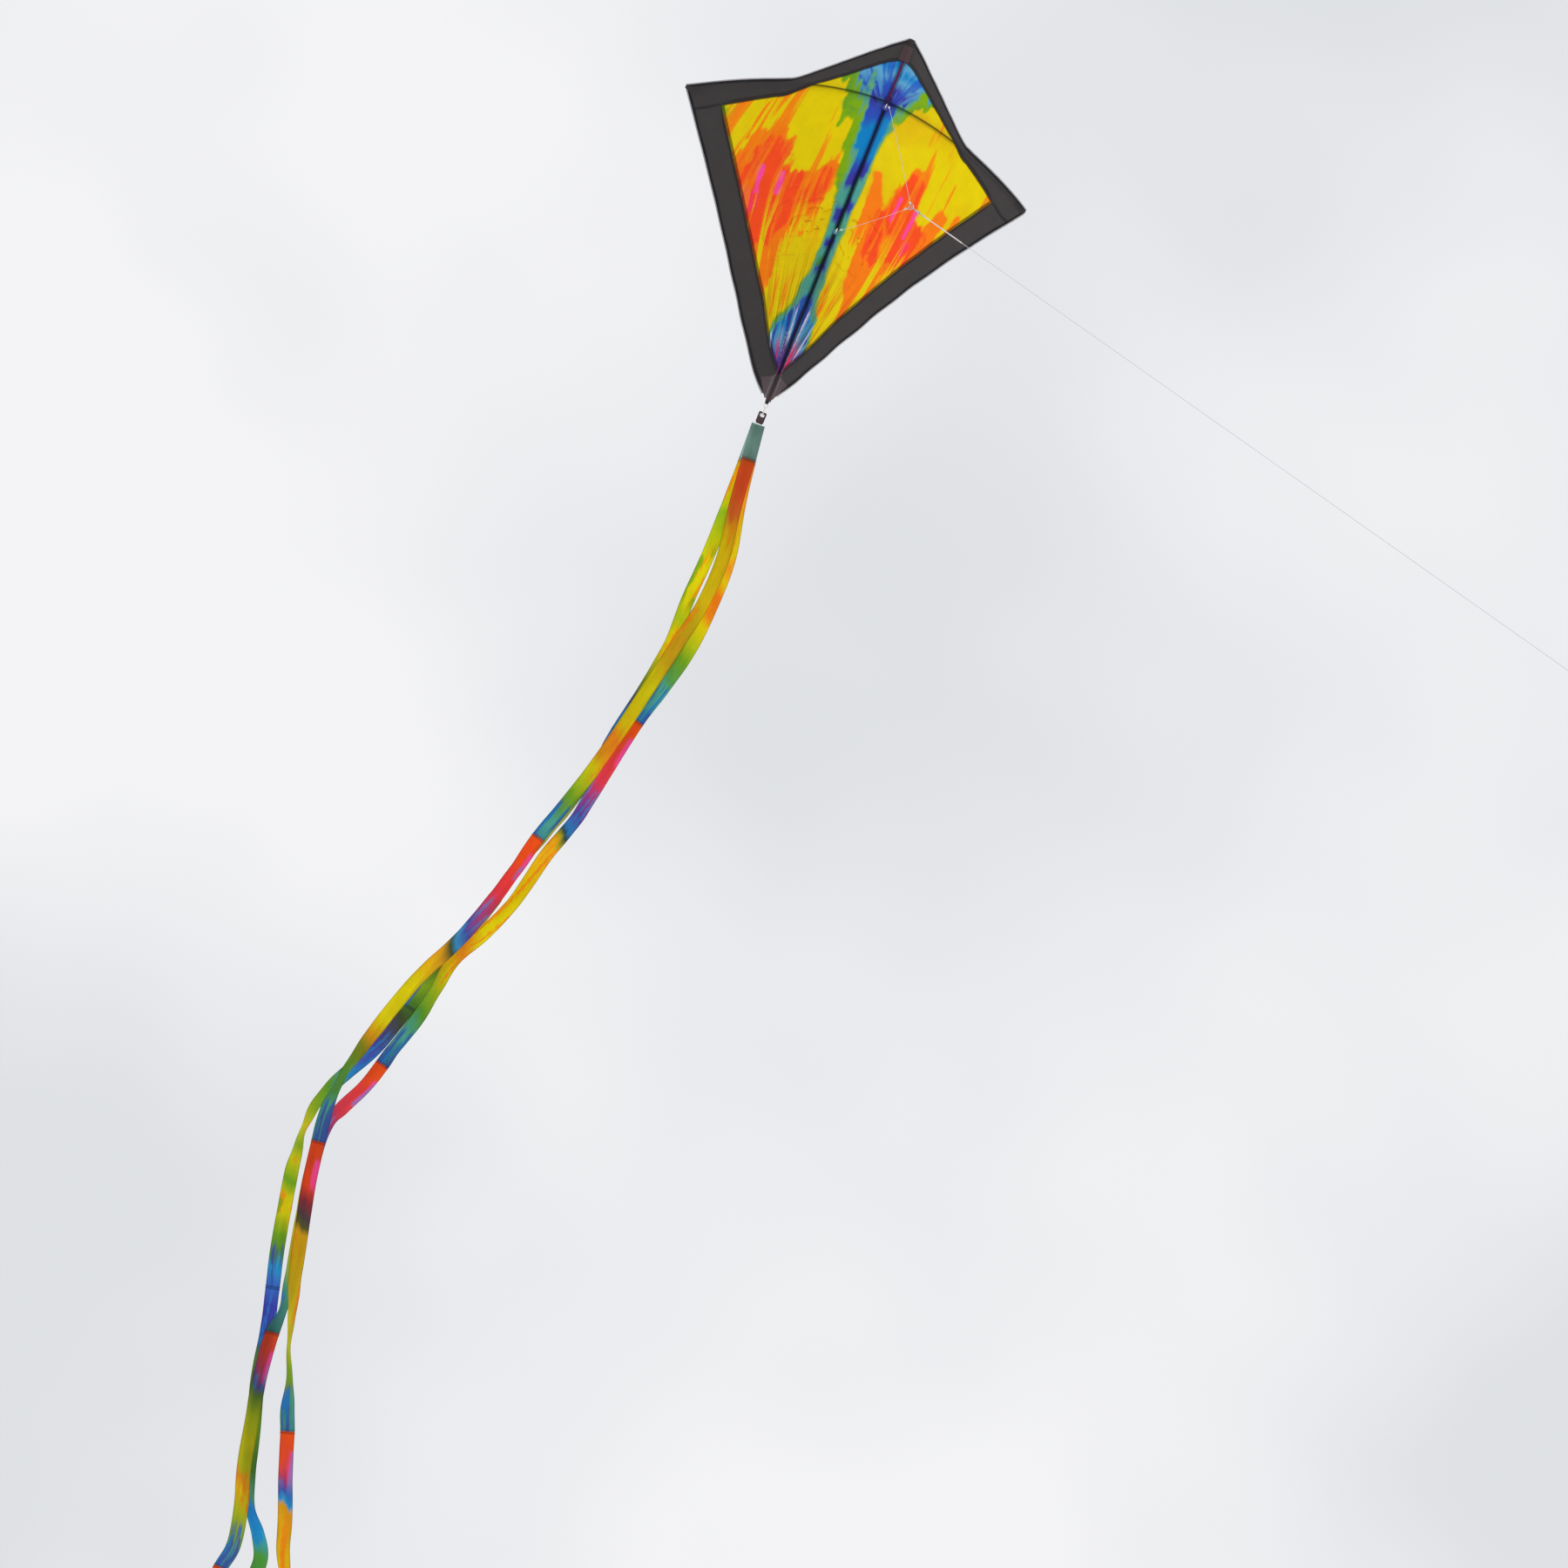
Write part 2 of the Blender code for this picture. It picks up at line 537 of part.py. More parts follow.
def make_clip(outward):
    clip = body("clip", TOW_POINT + LINE_DIRECTION * 0.005)
    sideways = LINE_DIRECTION.cross(Vector((0, 0, 1)).cross(outward).cross(LINE_DIRECTION)).normalized()
    sideways = Vector((0, 0, 1)).cross(outward).normalized()
    near, far = 0.0008, 0.0200
    centre = TOW_POINT + LINE_DIRECTION * (near + far) / 2
    wire_loop("snap_clip", centre, LINE_DIRECTION, sideways, (far - near) / 2, 0.0036, 0.0008, nickel, clip, 28)
    barrel = [(0, 0), (0, 0.0014), (0.0010, 0.0026), (0.0060, 0.0026), (0.0076, 0.0014), (0.0076, 0)]
    turned("swivel_barrel", barrel, TOW_POINT + LINE_DIRECTION * (far + 0.0012), LINE_DIRECTION, nickel, clip)
    eye_middle = TOW_POINT + LINE_DIRECTION * (LINE_START - 0.0045)
    line = body("line", eye_middle)
    wire_loop("swivel_eye", eye_middle, LINE_DIRECTION, sideways, 0.0026, 0.0026, 0.0007, nickel, line, 20)
    start = TOW_POINT + LINE_DIRECTION * (LINE_START + 0.0006)
    end = TOW_POINT + LINE_DIRECTION * (LINE_START + LINE_LENGTH)
    tube("flying_line", [start.lerp(end, k / 40) for k in range(41)], LINE_RADIUS, white_cord, line)
    loop = 0.016
    wire_loop(
        "line_end_loop", end + LINE_DIRECTION * (loop + LINE_RADIUS + 0.0006), LINE_DIRECTION, sideways, loop, 0.008,
        LINE_RADIUS * 1.15, white_cord, line,
    )


# ---- tail -----------------------------------------------------------------------------
def smooth_route(route):
    # A smooth curve through the route's points, with the turn carried along.
    places = [Vector(row[:3]) for row in route]
    turns = [row[3] for row in route]
    ends = [places[0] * 2 - places[1]] + places + [places[-1] * 2 - places[-2]]
    turn_ends = [turns[0]] + turns + [turns[-1]]
    out = []
    for k in range(len(places) - 1):
        a, b, c, d = ends[k:k + 4]
        p, q, r, s = turn_ends[k:k + 4]
        pieces = 8
        for m in range(pieces):
            t = m / pieces
            curve = [2 * b, (c - a) * t, (2 * a - 5 * b + 4 * c - d) * t * t, (3 * b - a - 3 * c + d) * t ** 3]
            place = (curve[0] + curve[1] + curve[2] + curve[3]) * 0.5
            turn = 0.5 * (2 * q + (r - p) * t + (2 * p - 5 * q + 4 * r - s) * t * t + (3 * q - p - 3 * r + s) * t ** 3)
            out.append((place, turn))
    out.append((places[-1], turns[-1]))
    return out


def at_height(run, z):
    # The route's point at a height, with its turn.
    for (above, turn_above), (below, turn_below) in zip(run, run[1:]):
        if above.z >= z >= below.z:
            share = (above.z - z) / max(above.z - below.z, 1e-9)
            return above.lerp(below, share), turn_above + (turn_below - turn_above) * share
    return run[0] if z > run[0][0].z else run[-1]


def ribbon_sections(run, low_z, high_z):
    # Rectangular sections of the ribbon between two heights, a facet's length apart.
    first, last = at_height(run, high_z), at_height(run, low_z)
    kept = [first]
    for row in run:
        inside = last[0].z < row[0].z < first[0].z
        if inside and min((row[0] - kept[-1][0]).length, (row[0] - last[0]).length) >= RIBBON_STEP * 0.6:
            kept.append(row)
    kept.append(last)
    sections = []
    for place, turn in kept:
        way = (at_height(run, place.z - 0.008)[0] - at_height(run, place.z + 0.008)[0]).normalized()
        across = Vector((0, -1, 0)).cross(way).normalized()
        across = Matrix.Rotation(math.radians(turn), 3, way) @ across
        flat = way.cross(across).normalized()
        wide, thick = across * RIBBON_WIDTH / 2, flat * RIBBON_THICKNESS / 2
        sections.append([place - wide - thick, place + wide - thick, place + wide + thick, place - wide + thick])
    return sections


def make_tail():
    down = Vector((0, 0, -1))
    side = Vector((1, 0, 0))
    depth = Vector((0, 1, 0))
    link = body("tail_link", Vector((0, 0, ANCHOR_Z - 0.0035)))
    link_top = ANCHOR_Z - 0.0018
    half = (link_top - LINK_BOTTOM_Z) / 2
    middle = Vector((0, 0, (link_top + LINK_BOTTOM_Z) / 2))
    wire_loop("tail_link_cord", middle, down, depth, half, 0.0032, 0.0007, white_cord, link)

    tab_body = body("tail_tab", Vector((0, 0, LINK_BOTTOM_Z)))
    hole = 0.0044
    eyelet = Vector((0, 0, EYELET_Z))
    wire_loop("tail_eyelet", eyelet, down, side, 0.0034, 0.0034, 0.0007, nickel, tab_body, 24)
    # The webbing tab is a ring of quads round its eyelet hole, so it is one solid with a true hole.
    steps = 24
    outer, inner = [], []
    for k in range(steps):
        angle = 2 * math.pi * (k + 0.5) / steps
        reach_x, reach_z = math.sin(angle), math.cos(angle)
        inner.append((reach_x * hole, EYELET_Z + reach_z * hole))
        stretch = 1.0 / max(abs(reach_x), abs(reach_z))
        x = reach_x * stretch * TAB_WIDTH / 2
        z = reach_z * stretch
        limit = TAB_TOP_Z - EYELET_Z if z > 0 else EYELET_Z - TAB_BOTTOM_Z
        outer.append((x, EYELET_Z + z * limit))
    sections = []
    for (ax, az), (bx, bz) in zip(inner, outer):
        half_thick = TAB_THICKNESS / 2
        sections.append([
            Vector((ax, -half_thick, az)), Vector((bx, -half_thick, bz)),
            Vector((bx, half_thick, bz)), Vector((ax, half_thick, az)),
        ])
    lofted("tail_tab", sections, maroon_webbing, tab_body, closed=True)

    for word, route in STREAMER_ROUTES.items():
        streamer = body(word, Vector(route[0][:3]))
        run = smooth_route(route)
        seams = (run[0][0].z + 1.0,) + STREAMER_SEAMS[word] + (run[-1][0].z - 1.0,)
        for k in range(len(seams) - 1):
            sections = ribbon_sections(run, seams[k + 1] + SEAM_WIDTH, seams[k] - SEAM_WIDTH)
            name = word + ("_header" if k == 0 else "_panel_%d" % k)
            front = [section[:2] for section in sections]
            back = [[section[3], section[2]] for section in sections]
            sheet_between(name, front, back, ribbon_cloth, streamer)


make_spine()
make_wing(-1, "left")
make_wing(1, "right")
make_clip(make_bridle())
make_tail()
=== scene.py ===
# A bowed diamond kite in flight: dyed ripstop sail, two-leg bridle, flying line and three ribbon streamers.
import math

import bmesh
import bpy
import numpy as np
from mathutils import Matrix, Vector


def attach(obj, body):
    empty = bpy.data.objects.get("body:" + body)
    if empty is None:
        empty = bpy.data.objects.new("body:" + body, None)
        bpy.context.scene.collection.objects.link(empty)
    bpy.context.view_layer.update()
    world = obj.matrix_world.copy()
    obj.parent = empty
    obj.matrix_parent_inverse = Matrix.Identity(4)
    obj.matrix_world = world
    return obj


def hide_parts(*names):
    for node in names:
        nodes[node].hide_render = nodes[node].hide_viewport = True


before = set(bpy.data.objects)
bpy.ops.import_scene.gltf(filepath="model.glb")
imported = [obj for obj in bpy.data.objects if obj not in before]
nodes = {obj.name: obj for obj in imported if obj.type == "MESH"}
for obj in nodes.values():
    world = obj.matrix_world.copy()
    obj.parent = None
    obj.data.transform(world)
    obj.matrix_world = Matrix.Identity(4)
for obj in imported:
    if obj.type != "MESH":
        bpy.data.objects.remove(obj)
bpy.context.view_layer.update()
scene = bpy.context.scene


def say(text):
    print("kite:", text, flush=True)


def linear(code):
    # One sRGB hex colour as linear red, green and blue.
    parts = [int(code[k:k + 2], 16) / 255 for k in (0, 2, 4)]
    return [c / 12.92 if c <= 0.04045 else ((c + 0.055) / 1.055) ** 2.4 for c in parts]


def addNode(tree, kind, inputs=None, **settings):
    node = tree.nodes.new(kind)
    for name, value in settings.items():
        setattr(node, name, value)
    for name, value in (inputs or {}).items():
        if isinstance(value, bpy.types.NodeSocket):
            tree.links.new(value, node.inputs[name])
        else:
            node.inputs[name].default_value = value
    return node


def newMaterial(name):
    made = bpy.data.materials.new(name)
    made.use_nodes = True
    tree = made.node_tree
    tree.nodes.clear()
    return made, tree, addNode(tree, "ShaderNodeOutputMaterial")


def latticeNoise(a, b, seed):
    # Smooth value noise from 0 to 1 over two coordinates.
    table = np.random.RandomState(seed).rand(256, 256)
    a, b = np.asarray(a, float), np.asarray(b, float)
    i, j = np.floor(a).astype(int), np.floor(b).astype(int)
    s, t = a - i, b - j
    s, t = s * s * (3 - 2 * s), t * t * (3 - 2 * t)
    low = table[i % 256, j % 256] * (1 - s) + table[(i + 1) % 256, j % 256] * s
    high = table[i % 256, (j + 1) % 256] * (1 - s) + table[(i + 1) % 256, (j + 1) % 256] * s
    return low * (1 - t) + high * t


def roughNoise(a, b, seed):
    # Three octaves of the same, still about 0 to 1.
    total = latticeNoise(a, b, seed) * 0.57
    total += latticeNoise(np.asarray(a) * 2.1, np.asarray(b) * 2.1, seed + 1) * 0.28
    return total + latticeNoise(np.asarray(a) * 4.3, np.asarray(b) * 4.3, seed + 2) * 0.15


def smoothStep(low, high, value):
    t = np.clip((value - low) / (high - low), 0, 1)
    return t * t * (3 - 2 * t)


def addObject(name, mesh, material, body):
    made = bpy.data.objects.new(name, mesh)
    scene.collection.objects.link(made)
    if material is not None:
        mesh.materials.append(material)
    if body:
        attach(made, body)
    return made


# The camera stands far below and to one side, rolled, because the kite banks across the wind.
cameraPlace = {"position": (-1.0201, -10.8889, -6.139), "lens": 165.1, "sensor": 36.0}
cameraRight = Vector((0.9089, -0.2549, 0.3300)).normalized()
cameraAway = Vector((0.1069, 0.9074, 0.4064)).normalized()
cameraUp = cameraRight.cross(cameraAway).normalized()
cameraData = bpy.data.cameras.new("camera")
cameraData.lens = cameraPlace["lens"]
cameraData.sensor_width = cameraPlace["sensor"]
cameraData.clip_end = 400
camera = bpy.data.objects.new("camera", cameraData)
scene.collection.objects.link(camera)
turn = Matrix((cameraRight, cameraUp, -cameraAway)).transposed().to_4x4()
camera.matrix_world = Matrix.Translation(cameraPlace["position"]) @ turn
scene.camera = camera
scene.view_settings.view_transform = "Standard"

# An even bright sky, soft lamps behind the cloth and on its face, and a pale floor far below.
sky = {"tone": "F4F4F6", "shade": "DFE1E5", "strength": 1.0, "lampPower": 420, "floorDrop": -7.7}
world = bpy.data.worlds.new("overcast sky")
world.use_nodes = True
background = world.node_tree.nodes["Background"]
background.inputs["Strength"].default_value = sky["strength"]
seen = addNode(world.node_tree, "ShaderNodeTexCoord").outputs["Generated"]
haze = addNode(
    world.node_tree, "ShaderNodeTexNoise",
    {"Vector": seen, "Scale": 7.0, "Detail": 3.0, "Roughness": 0.45},
)
veil = addNode(
    world.node_tree, "ShaderNodeMapRange",
    {"Value": haze.outputs["Fac"], "From Min": 0.36, "From Max": 0.60},
)
cloud = addNode(
    world.node_tree, "ShaderNodeMix",
    {"Factor": veil.outputs[0], 6: (*linear(sky["shade"]), 1), 7: (*linear(sky["tone"]), 1)},
    data_type="RGBA",
)
world.node_tree.links.new(cloud.outputs[2], background.inputs["Color"])
scene.world = world


def softLamp(name, place, aim, size, power):
    data = bpy.data.lights.new(name, "AREA")
    data.size = size
    data.energy = power
    lamp = bpy.data.objects.new(name, data)
    scene.collection.objects.link(lamp)
    lamp.matrix_world = Matrix.Translation(place) @ (
        (Vector(aim) - Vector(place)).to_track_quat("-Z", "Y").to_matrix().to_4x4()
    )


softLamp("lamp behind the cloth", (-3.0, 6.0, 6.0), (0, 0, -0.6), 4.0, sky["lampPower"])
softLamp("lamp on the face", (3.5, -6.0, 3.0), (0, 0, -1.0), 4.0, sky["lampPower"] * 0.25)

floorMaterial, tree, out = newMaterial("pale matt floor")  # painted screed: an even matt white
grain = addNode(tree, "ShaderNodeTexNoise", {"Scale": 3.0, "Detail": 4.0})
tint = addNode(tree, "ShaderNodeMapRange", {"Value": grain.outputs["Fac"], "To Min": 0.76, "To Max": 0.82})
floorShade = addNode(tree, "ShaderNodeBsdfPrincipled", {"Base Color": tint.outputs[0], "Roughness": 0.9})
tree.links.new(floorShade.outputs[0], out.inputs["Surface"])
floorMesh = bpy.data.meshes.new("floor")
reach = 90.0
corners = [(-reach, -reach), (reach, -reach), (reach, reach), (-reach, reach)]
floorMesh.from_pydata([(x, y, sky["floorDrop"]) for x, y in corners], [], [(0, 1, 2, 3)])
floor = addObject("floor", floorMesh, floorMaterial, None)
say("camera and light")


bandScale = 0.3142  # the wave texture's scale for one band each metre
shownPitch = 0.0012  # threads are 0.2 mm apart, and drawn 1.2 mm apart so that they show


def threadBands(tree, uv, pitch, direction):
    return addNode(
        tree, "ShaderNodeTexWave", {"Vector": uv, "Scale": bandScale / pitch},
        wave_type="BANDS", bands_direction=direction,
    ).outputs["Fac"]


def weaveBump(tree, uv, pitch, strength, distance):
    # Two crossing sets of threads, pitch metres apart, as a bump.
    crossing = {k: threadBands(tree, uv, pitch, direction) for k, direction in enumerate("XY")}
    both = addNode(tree, "ShaderNodeMath", crossing, operation="MAXIMUM")
    return addNode(
        tree, "ShaderNodeBump", {"Strength": strength, "Distance": distance, "Height": both.outputs[0]}
    )


def ripstopGrid(tree, uv, pitch):
    # The thicker threads of ripstop as a mask of thin lines, 1 on a line.
    lines = {}
    for k, direction in enumerate("XY"):
        band = threadBands(tree, uv, pitch, direction)
        line = addNode(tree, "ShaderNodeMapRange", {"Value": band, "From Min": 0.90, "From Max": 0.99})
        lines[k] = line.outputs[0]
    return addNode(tree, "ShaderNodeMath", lines, operation="MAXIMUM").outputs[0]


def thinCloth(name, colour, weave, through, clear, roughness, thread=0.95):
    # Uncoated nylon: much of the light is scattered through it, and a little passes between the threads.
    made, tree, out = newMaterial(name)
    uv = addNode(tree, "ShaderNodeUVMap", uv_map="cloth").outputs["UV"]
    if isinstance(colour, str):
        base = addNode(tree, "ShaderNodeRGB")
        base.outputs[0].default_value = (*linear(colour), 1)
        colourOut = base.outputs[0]
    else:
        colourOut = addNode(tree, "ShaderNodeAttribute", attribute_name="dye").outputs["Color"]
    blotch = addNode(
        tree, "ShaderNodeTexNoise", {"Vector": uv, "Scale": 38.0, "Detail": 5.0, "Roughness": 0.6}
    )
    shade = addNode(
        tree, "ShaderNodeMapRange", {"Value": blotch.outputs["Fac"], "To Min": 0.88, "To Max": 1.12}
    )
    grid = ripstopGrid(tree, uv, weave)
    darker = addNode(tree, "ShaderNodeMapRange", {"Value": grid, "To Min": 1.0, "To Max": thread})
    level = addNode(
        tree, "ShaderNodeMath", {0: shade.outputs[0], 1: darker.outputs[0]}, operation="MULTIPLY"
    )
    mixed = addNode(
        tree, "ShaderNodeVectorMath", {0: colourOut, "Scale": level.outputs[0]}, operation="SCALE"
    )
    bump = weaveBump(tree, uv, shownPitch, 0.25, 0.0002)
    front = addNode(
        tree, "ShaderNodeBsdfPrincipled",
        {"Base Color": mixed.outputs[0], "Roughness": roughness, "Normal": bump.outputs[0], "IOR": 1.53},
    )
    front.inputs["Specular IOR Level"].default_value = 0.22
    back = addNode(tree, "ShaderNodeBsdfTranslucent", {"Color": mixed.outputs[0], "Normal": bump.outputs[0]})
    cloth = addNode(tree, "ShaderNodeMixShader", {"Fac": through, 1: front.outputs[0], 2: back.outputs[0]})
    gap = addNode(tree, "ShaderNodeBsdfTransparent", {"Color": mixed.outputs[0]})
    whole = addNode(tree, "ShaderNodeMixShader", {"Fac": clear, 1: cloth.outputs[0], 2: gap.outputs[0]})
    tree.links.new(whole.outputs[0], out.inputs["Surface"])
    return made


def solidFinish(
    name, colour, roughness, metallic=0.0, noiseScale=200.0, bumpDepth=0.0001, spread=0.15, coat=0.0
):
    made, tree, out = newMaterial(name)
    place = addNode(tree, "ShaderNodeTexCoord").outputs["Object"]
    noise = addNode(tree, "ShaderNodeTexNoise", {"Vector": place, "Scale": noiseScale, "Detail": 4.0})
    low = [c * (1 - spread) for c in linear(colour)]
    high = [min(1.0, c * (1 + spread)) for c in linear(colour)]
    mix = addNode(
        tree, "ShaderNodeMix",
        {"Factor": noise.outputs["Fac"], 6: (*low, 1), 7: (*high, 1)}, data_type="RGBA",
    )
    rough = addNode(
        tree, "ShaderNodeMapRange",
        {"Value": noise.outputs["Fac"], "To Min": roughness * 0.85, "To Max": min(1.0, roughness * 1.15)},
    )
    bump = addNode(
        tree, "ShaderNodeBump", {"Strength": 0.4, "Distance": bumpDepth, "Height": noise.outputs["Fac"]}
    )
    shader = addNode(
        tree, "ShaderNodeBsdfPrincipled",
        {"Base Color": mix.outputs[2], "Roughness": rough.outputs[0], "Normal": bump.outputs[0],
         "Metallic": metallic},
    )
    shader.inputs["Coat Weight"].default_value = coat
    tree.links.new(shader.outputs[0], out.inputs["Surface"])
    return made


def wovenTape(name, colour, pitch):
    # Polyester webbing: thick ribs across, each with a soft shine, and painted shade in the grooves between
    # them.
    made, tree, out = newMaterial(name)
    place = addNode(tree, "ShaderNodeTexCoord").outputs["Object"]
    ribs = addNode(
        tree, "ShaderNodeTexWave", {"Vector": place, "Scale": bandScale / pitch, "Distortion": 0.6},
        wave_type="BANDS", bands_direction="Z",
    )
    warp = addNode(
        tree, "ShaderNodeTexWave", {"Vector": place, "Scale": bandScale / (pitch * 0.8)},
        wave_type="BANDS", bands_direction="X",
    )
    height = addNode(
        tree, "ShaderNodeMath", {0: ribs.outputs["Fac"], 1: warp.outputs["Fac"]}, operation="MULTIPLY"
    )
    # Painted shade: the colour falls to 0.45 of itself in the low grooves between the ribs.
    low = [c * 0.45 for c in linear(colour)]
    mix = addNode(
        tree, "ShaderNodeMix",
        {"Factor": height.outputs[0], 6: (*low, 1), 7: (*linear(colour), 1)}, data_type="RGBA",
    )
    bump = addNode(
        tree, "ShaderNodeBump", {"Strength": 0.7, "Distance": 0.0004, "Height": height.outputs[0]}
    )
    shader = addNode(
        tree, "ShaderNodeBsdfPrincipled",
        {"Base Color": mix.outputs[2], "Roughness": 0.62, "Normal": bump.outputs[0]},
    )
    shader.inputs["Sheen Weight"].default_value = 0.3
    tree.links.new(shader.outputs[0], out.inputs["Surface"])
    return made


dyedRipstop = thinCloth("dyed ripstop nylon", None, 0.005, 0.62, 0.22, 0.5)
charcoalRipstop = thinCloth("charcoal ripstop nylon", "403C3C", 0.005, 0.45, 0.015, 0.55, 0.85)
foldedHem = thinCloth("folded black hem", "17171C", 0.005, 0.2, 0.0, 0.6, 0.8)
paleBinding = thinCloth("pale grey edge binding", "CCCACC", 0.004, 0.5, 0.1, 0.6)
dyedRibbon = thinCloth("dyed ribbon nylon", None, 0.005, 0.62, 0.12, 0.5)
maroonWebbing = wovenTape("maroon polyester webbing", "461422", 0.0016)
# Pultruded rod has a glossy resin skin, moulded vinyl is satin, braided cord is matt and plated wire is
# a soft mirror.
rodFibreglass = solidFinish("pultruded black fibreglass", "1A1A1E", 0.32, noiseScale=400, coat=0.3)
mouldedVinyl = solidFinish("moulded black vinyl", "16161A", 0.45, noiseScale=900, bumpDepth=0.00005)
sleeveNylon = solidFinish("navy sleeve nylon", "1C2044", 0.6, noiseScale=700)
bridleCord = solidFinish("undyed braided bridle cord", "CFC8B6", 0.6, noiseScale=900, spread=0.2)
whiteCord = solidFinish("white braided polyester cord", "E6E2DC", 0.6, noiseScale=900, spread=0.2)
paleLine = solidFinish("pale braided flying line", "D8D8DA", 0.5, noiseScale=900, spread=0.15)
nickelWire = solidFinish("nickel plated spring wire", "C8C4BE", 0.22, 1.0, noiseScale=600, spread=0.08)
indigoPatch = solidFinish("indigo dyed patch", "35389A", 0.55, noiseScale=900)
tealPatch = solidFinish("teal dyed patch", "2E6E86", 0.55, noiseScale=900)
blackThread = solidFinish("black bonded thread", "101014", 0.5, noiseScale=1500)

for names, finish in (
    (("spine_rod", "left_spar", "right_spar"), rodFibreglass),
    (("nose_cap", "tail_cap", "cross_connector", "left_spar_socket", "right_spar_socket"), mouldedVinyl),
    (("left_spar_cap", "right_spar_cap"), mouldedVinyl),
    (("spine_sleeve_upper", "spine_sleeve_lower", "left_tip_pocket", "right_tip_pocket"), sleeveNylon),
    (("nose_pocket", "tail_pocket", "tail_tab"), maroonWebbing),
    (("upper_bridle_eye", "lower_bridle_eye", "tail_anchor", "tail_link_cord", "line_end_loop"), whiteCord),
    (("tow_ring", "snap_clip", "swivel_barrel", "swivel_eye", "tail_eyelet"), nickelWire),
    (("upper_bridle_patch",), indigoPatch),
    (("lower_bridle_patch",), tealPatch),
):
    for name in names:
        nodes[name].data.materials.clear()
        nodes[name].data.materials.append(finish)
say("materials")


# The bowed sail, in metres; -1 is its left half and 1 its right half.
sail = {
    "halfSpan": 0.313, "bow": {-1: 0.234, 1: 0.173}, "bowPower": 1.81, "tipRise": 0.010,
    "noseUp": 0.136, "tail": -0.626, "kink": 0.53, "over": 0.005, "kinkSoft": 0.008,
    "trailingPower": 0.60, "fold": 0.03, "hollow": {-1: 0.020, 1: 0.038}, "belly": 0.014,
    "standoff": 0.0055, "slit": 0.0012, "tip": 0.998,
    "borderTrailing": 0.079, "borderTrailingTail": 0.055,
    "columns": 205, "rows": 340, "hemWidth": 0.0050, "lap": 0.004,
    "wrap": 0.0039, "borderLift": {"leading": 0.0010, "trailing": 0.0007}, "hemLift": 0.0014,
    "bindingRadius": 0.0015, "bindingShift": 0.0018, "bindingLift": 0.0004,
}


def sparZ(side, u):
    return sail["tipRise"] * side * u


def sparY(side, u):
    return sail["bow"][side] * np.abs(u) ** sail["bowPower"]


def leadingZ(side, u):
    line = sail["noseUp"] * (1 - u / sail["kink"]) - sail["over"]
    return sparZ(side, u) + sail["over"] + 0.5 * (line + np.hypot(line, sail["kinkSoft"]))


def trailingZ(side, u):
    return sail["tail"] * (1 - u) + sparZ(side, u) + sail["hollow"][side] * np.sin(math.pi * u)


def surfaceY(side, u, z):
    # The cloth's depth: the bowed spar in the middle, flatter towards both edges.
    middle = sparZ(side, u)
    kink = sail["kink"]
    leading = np.where(u >= kink, sparY(side, u), sparY(side, kink) * (np.abs(u) / kink) ** 1.06)
    up = np.clip((z - middle) / np.maximum(leadingZ(side, u) - middle, 1e-6), 0, 1)
    down = np.clip((middle - z) / np.maximum(middle - trailingZ(side, u), 1e-6), 0, 1)
    fold = sail["fold"]
    rounded = (np.hypot(u, fold) - fold) / (math.hypot(1.0, fold) - fold)
    edge = sail["bow"][side] * np.maximum(rounded, 0) ** sail["trailingPower"]
    belly = sail["belly"] * np.sin(math.pi * down) * np.sin(math.pi * np.clip(u, 0, 1))
    above = sparY(side, u) + (leading - sparY(side, u)) * up
    below = sparY(side, u) + (edge - sparY(side, u)) * down ** 1.3 + belly
    return np.where(z >= middle, above, below)


# The leading border's width from the nose to the tip: narrow where the edge bends.
leadingStations = (0, 0.25, 0.45, 0.55, 0.70, 0.86, 1)
leadingWidths = {
    -1: (0.036, 0.037, 0.031, 0.029, 0.036, 0.042, 0.042),
    1: (0.036, 0.030, 0.022, 0.020, 0.030, 0.042, 0.042),
}


def borderLeading(side, u):
    return np.interp(np.abs(u), leadingStations, leadingWidths[side])


def borderTrailing(u):
    near = sail["borderTrailingTail"]
    return near + (sail["borderTrailing"] - near) * np.minimum(u / 0.2, 1)


def innerLeading(side, u):
    return leadingZ(side, u) - borderLeading(side, u) - 0.006 * np.exp(-((u / 0.05) ** 2))


def innerTrailing(side, u):
    return trailingZ(side, u) + borderTrailing(u)


def fanPlace(x, z):
    # Distance and angle about the tail, where the cloth is gathered and its creases start.
    return np.hypot(x, z - sail["tail"]), np.arctan2(x, z - sail["tail"] + 1e-9)


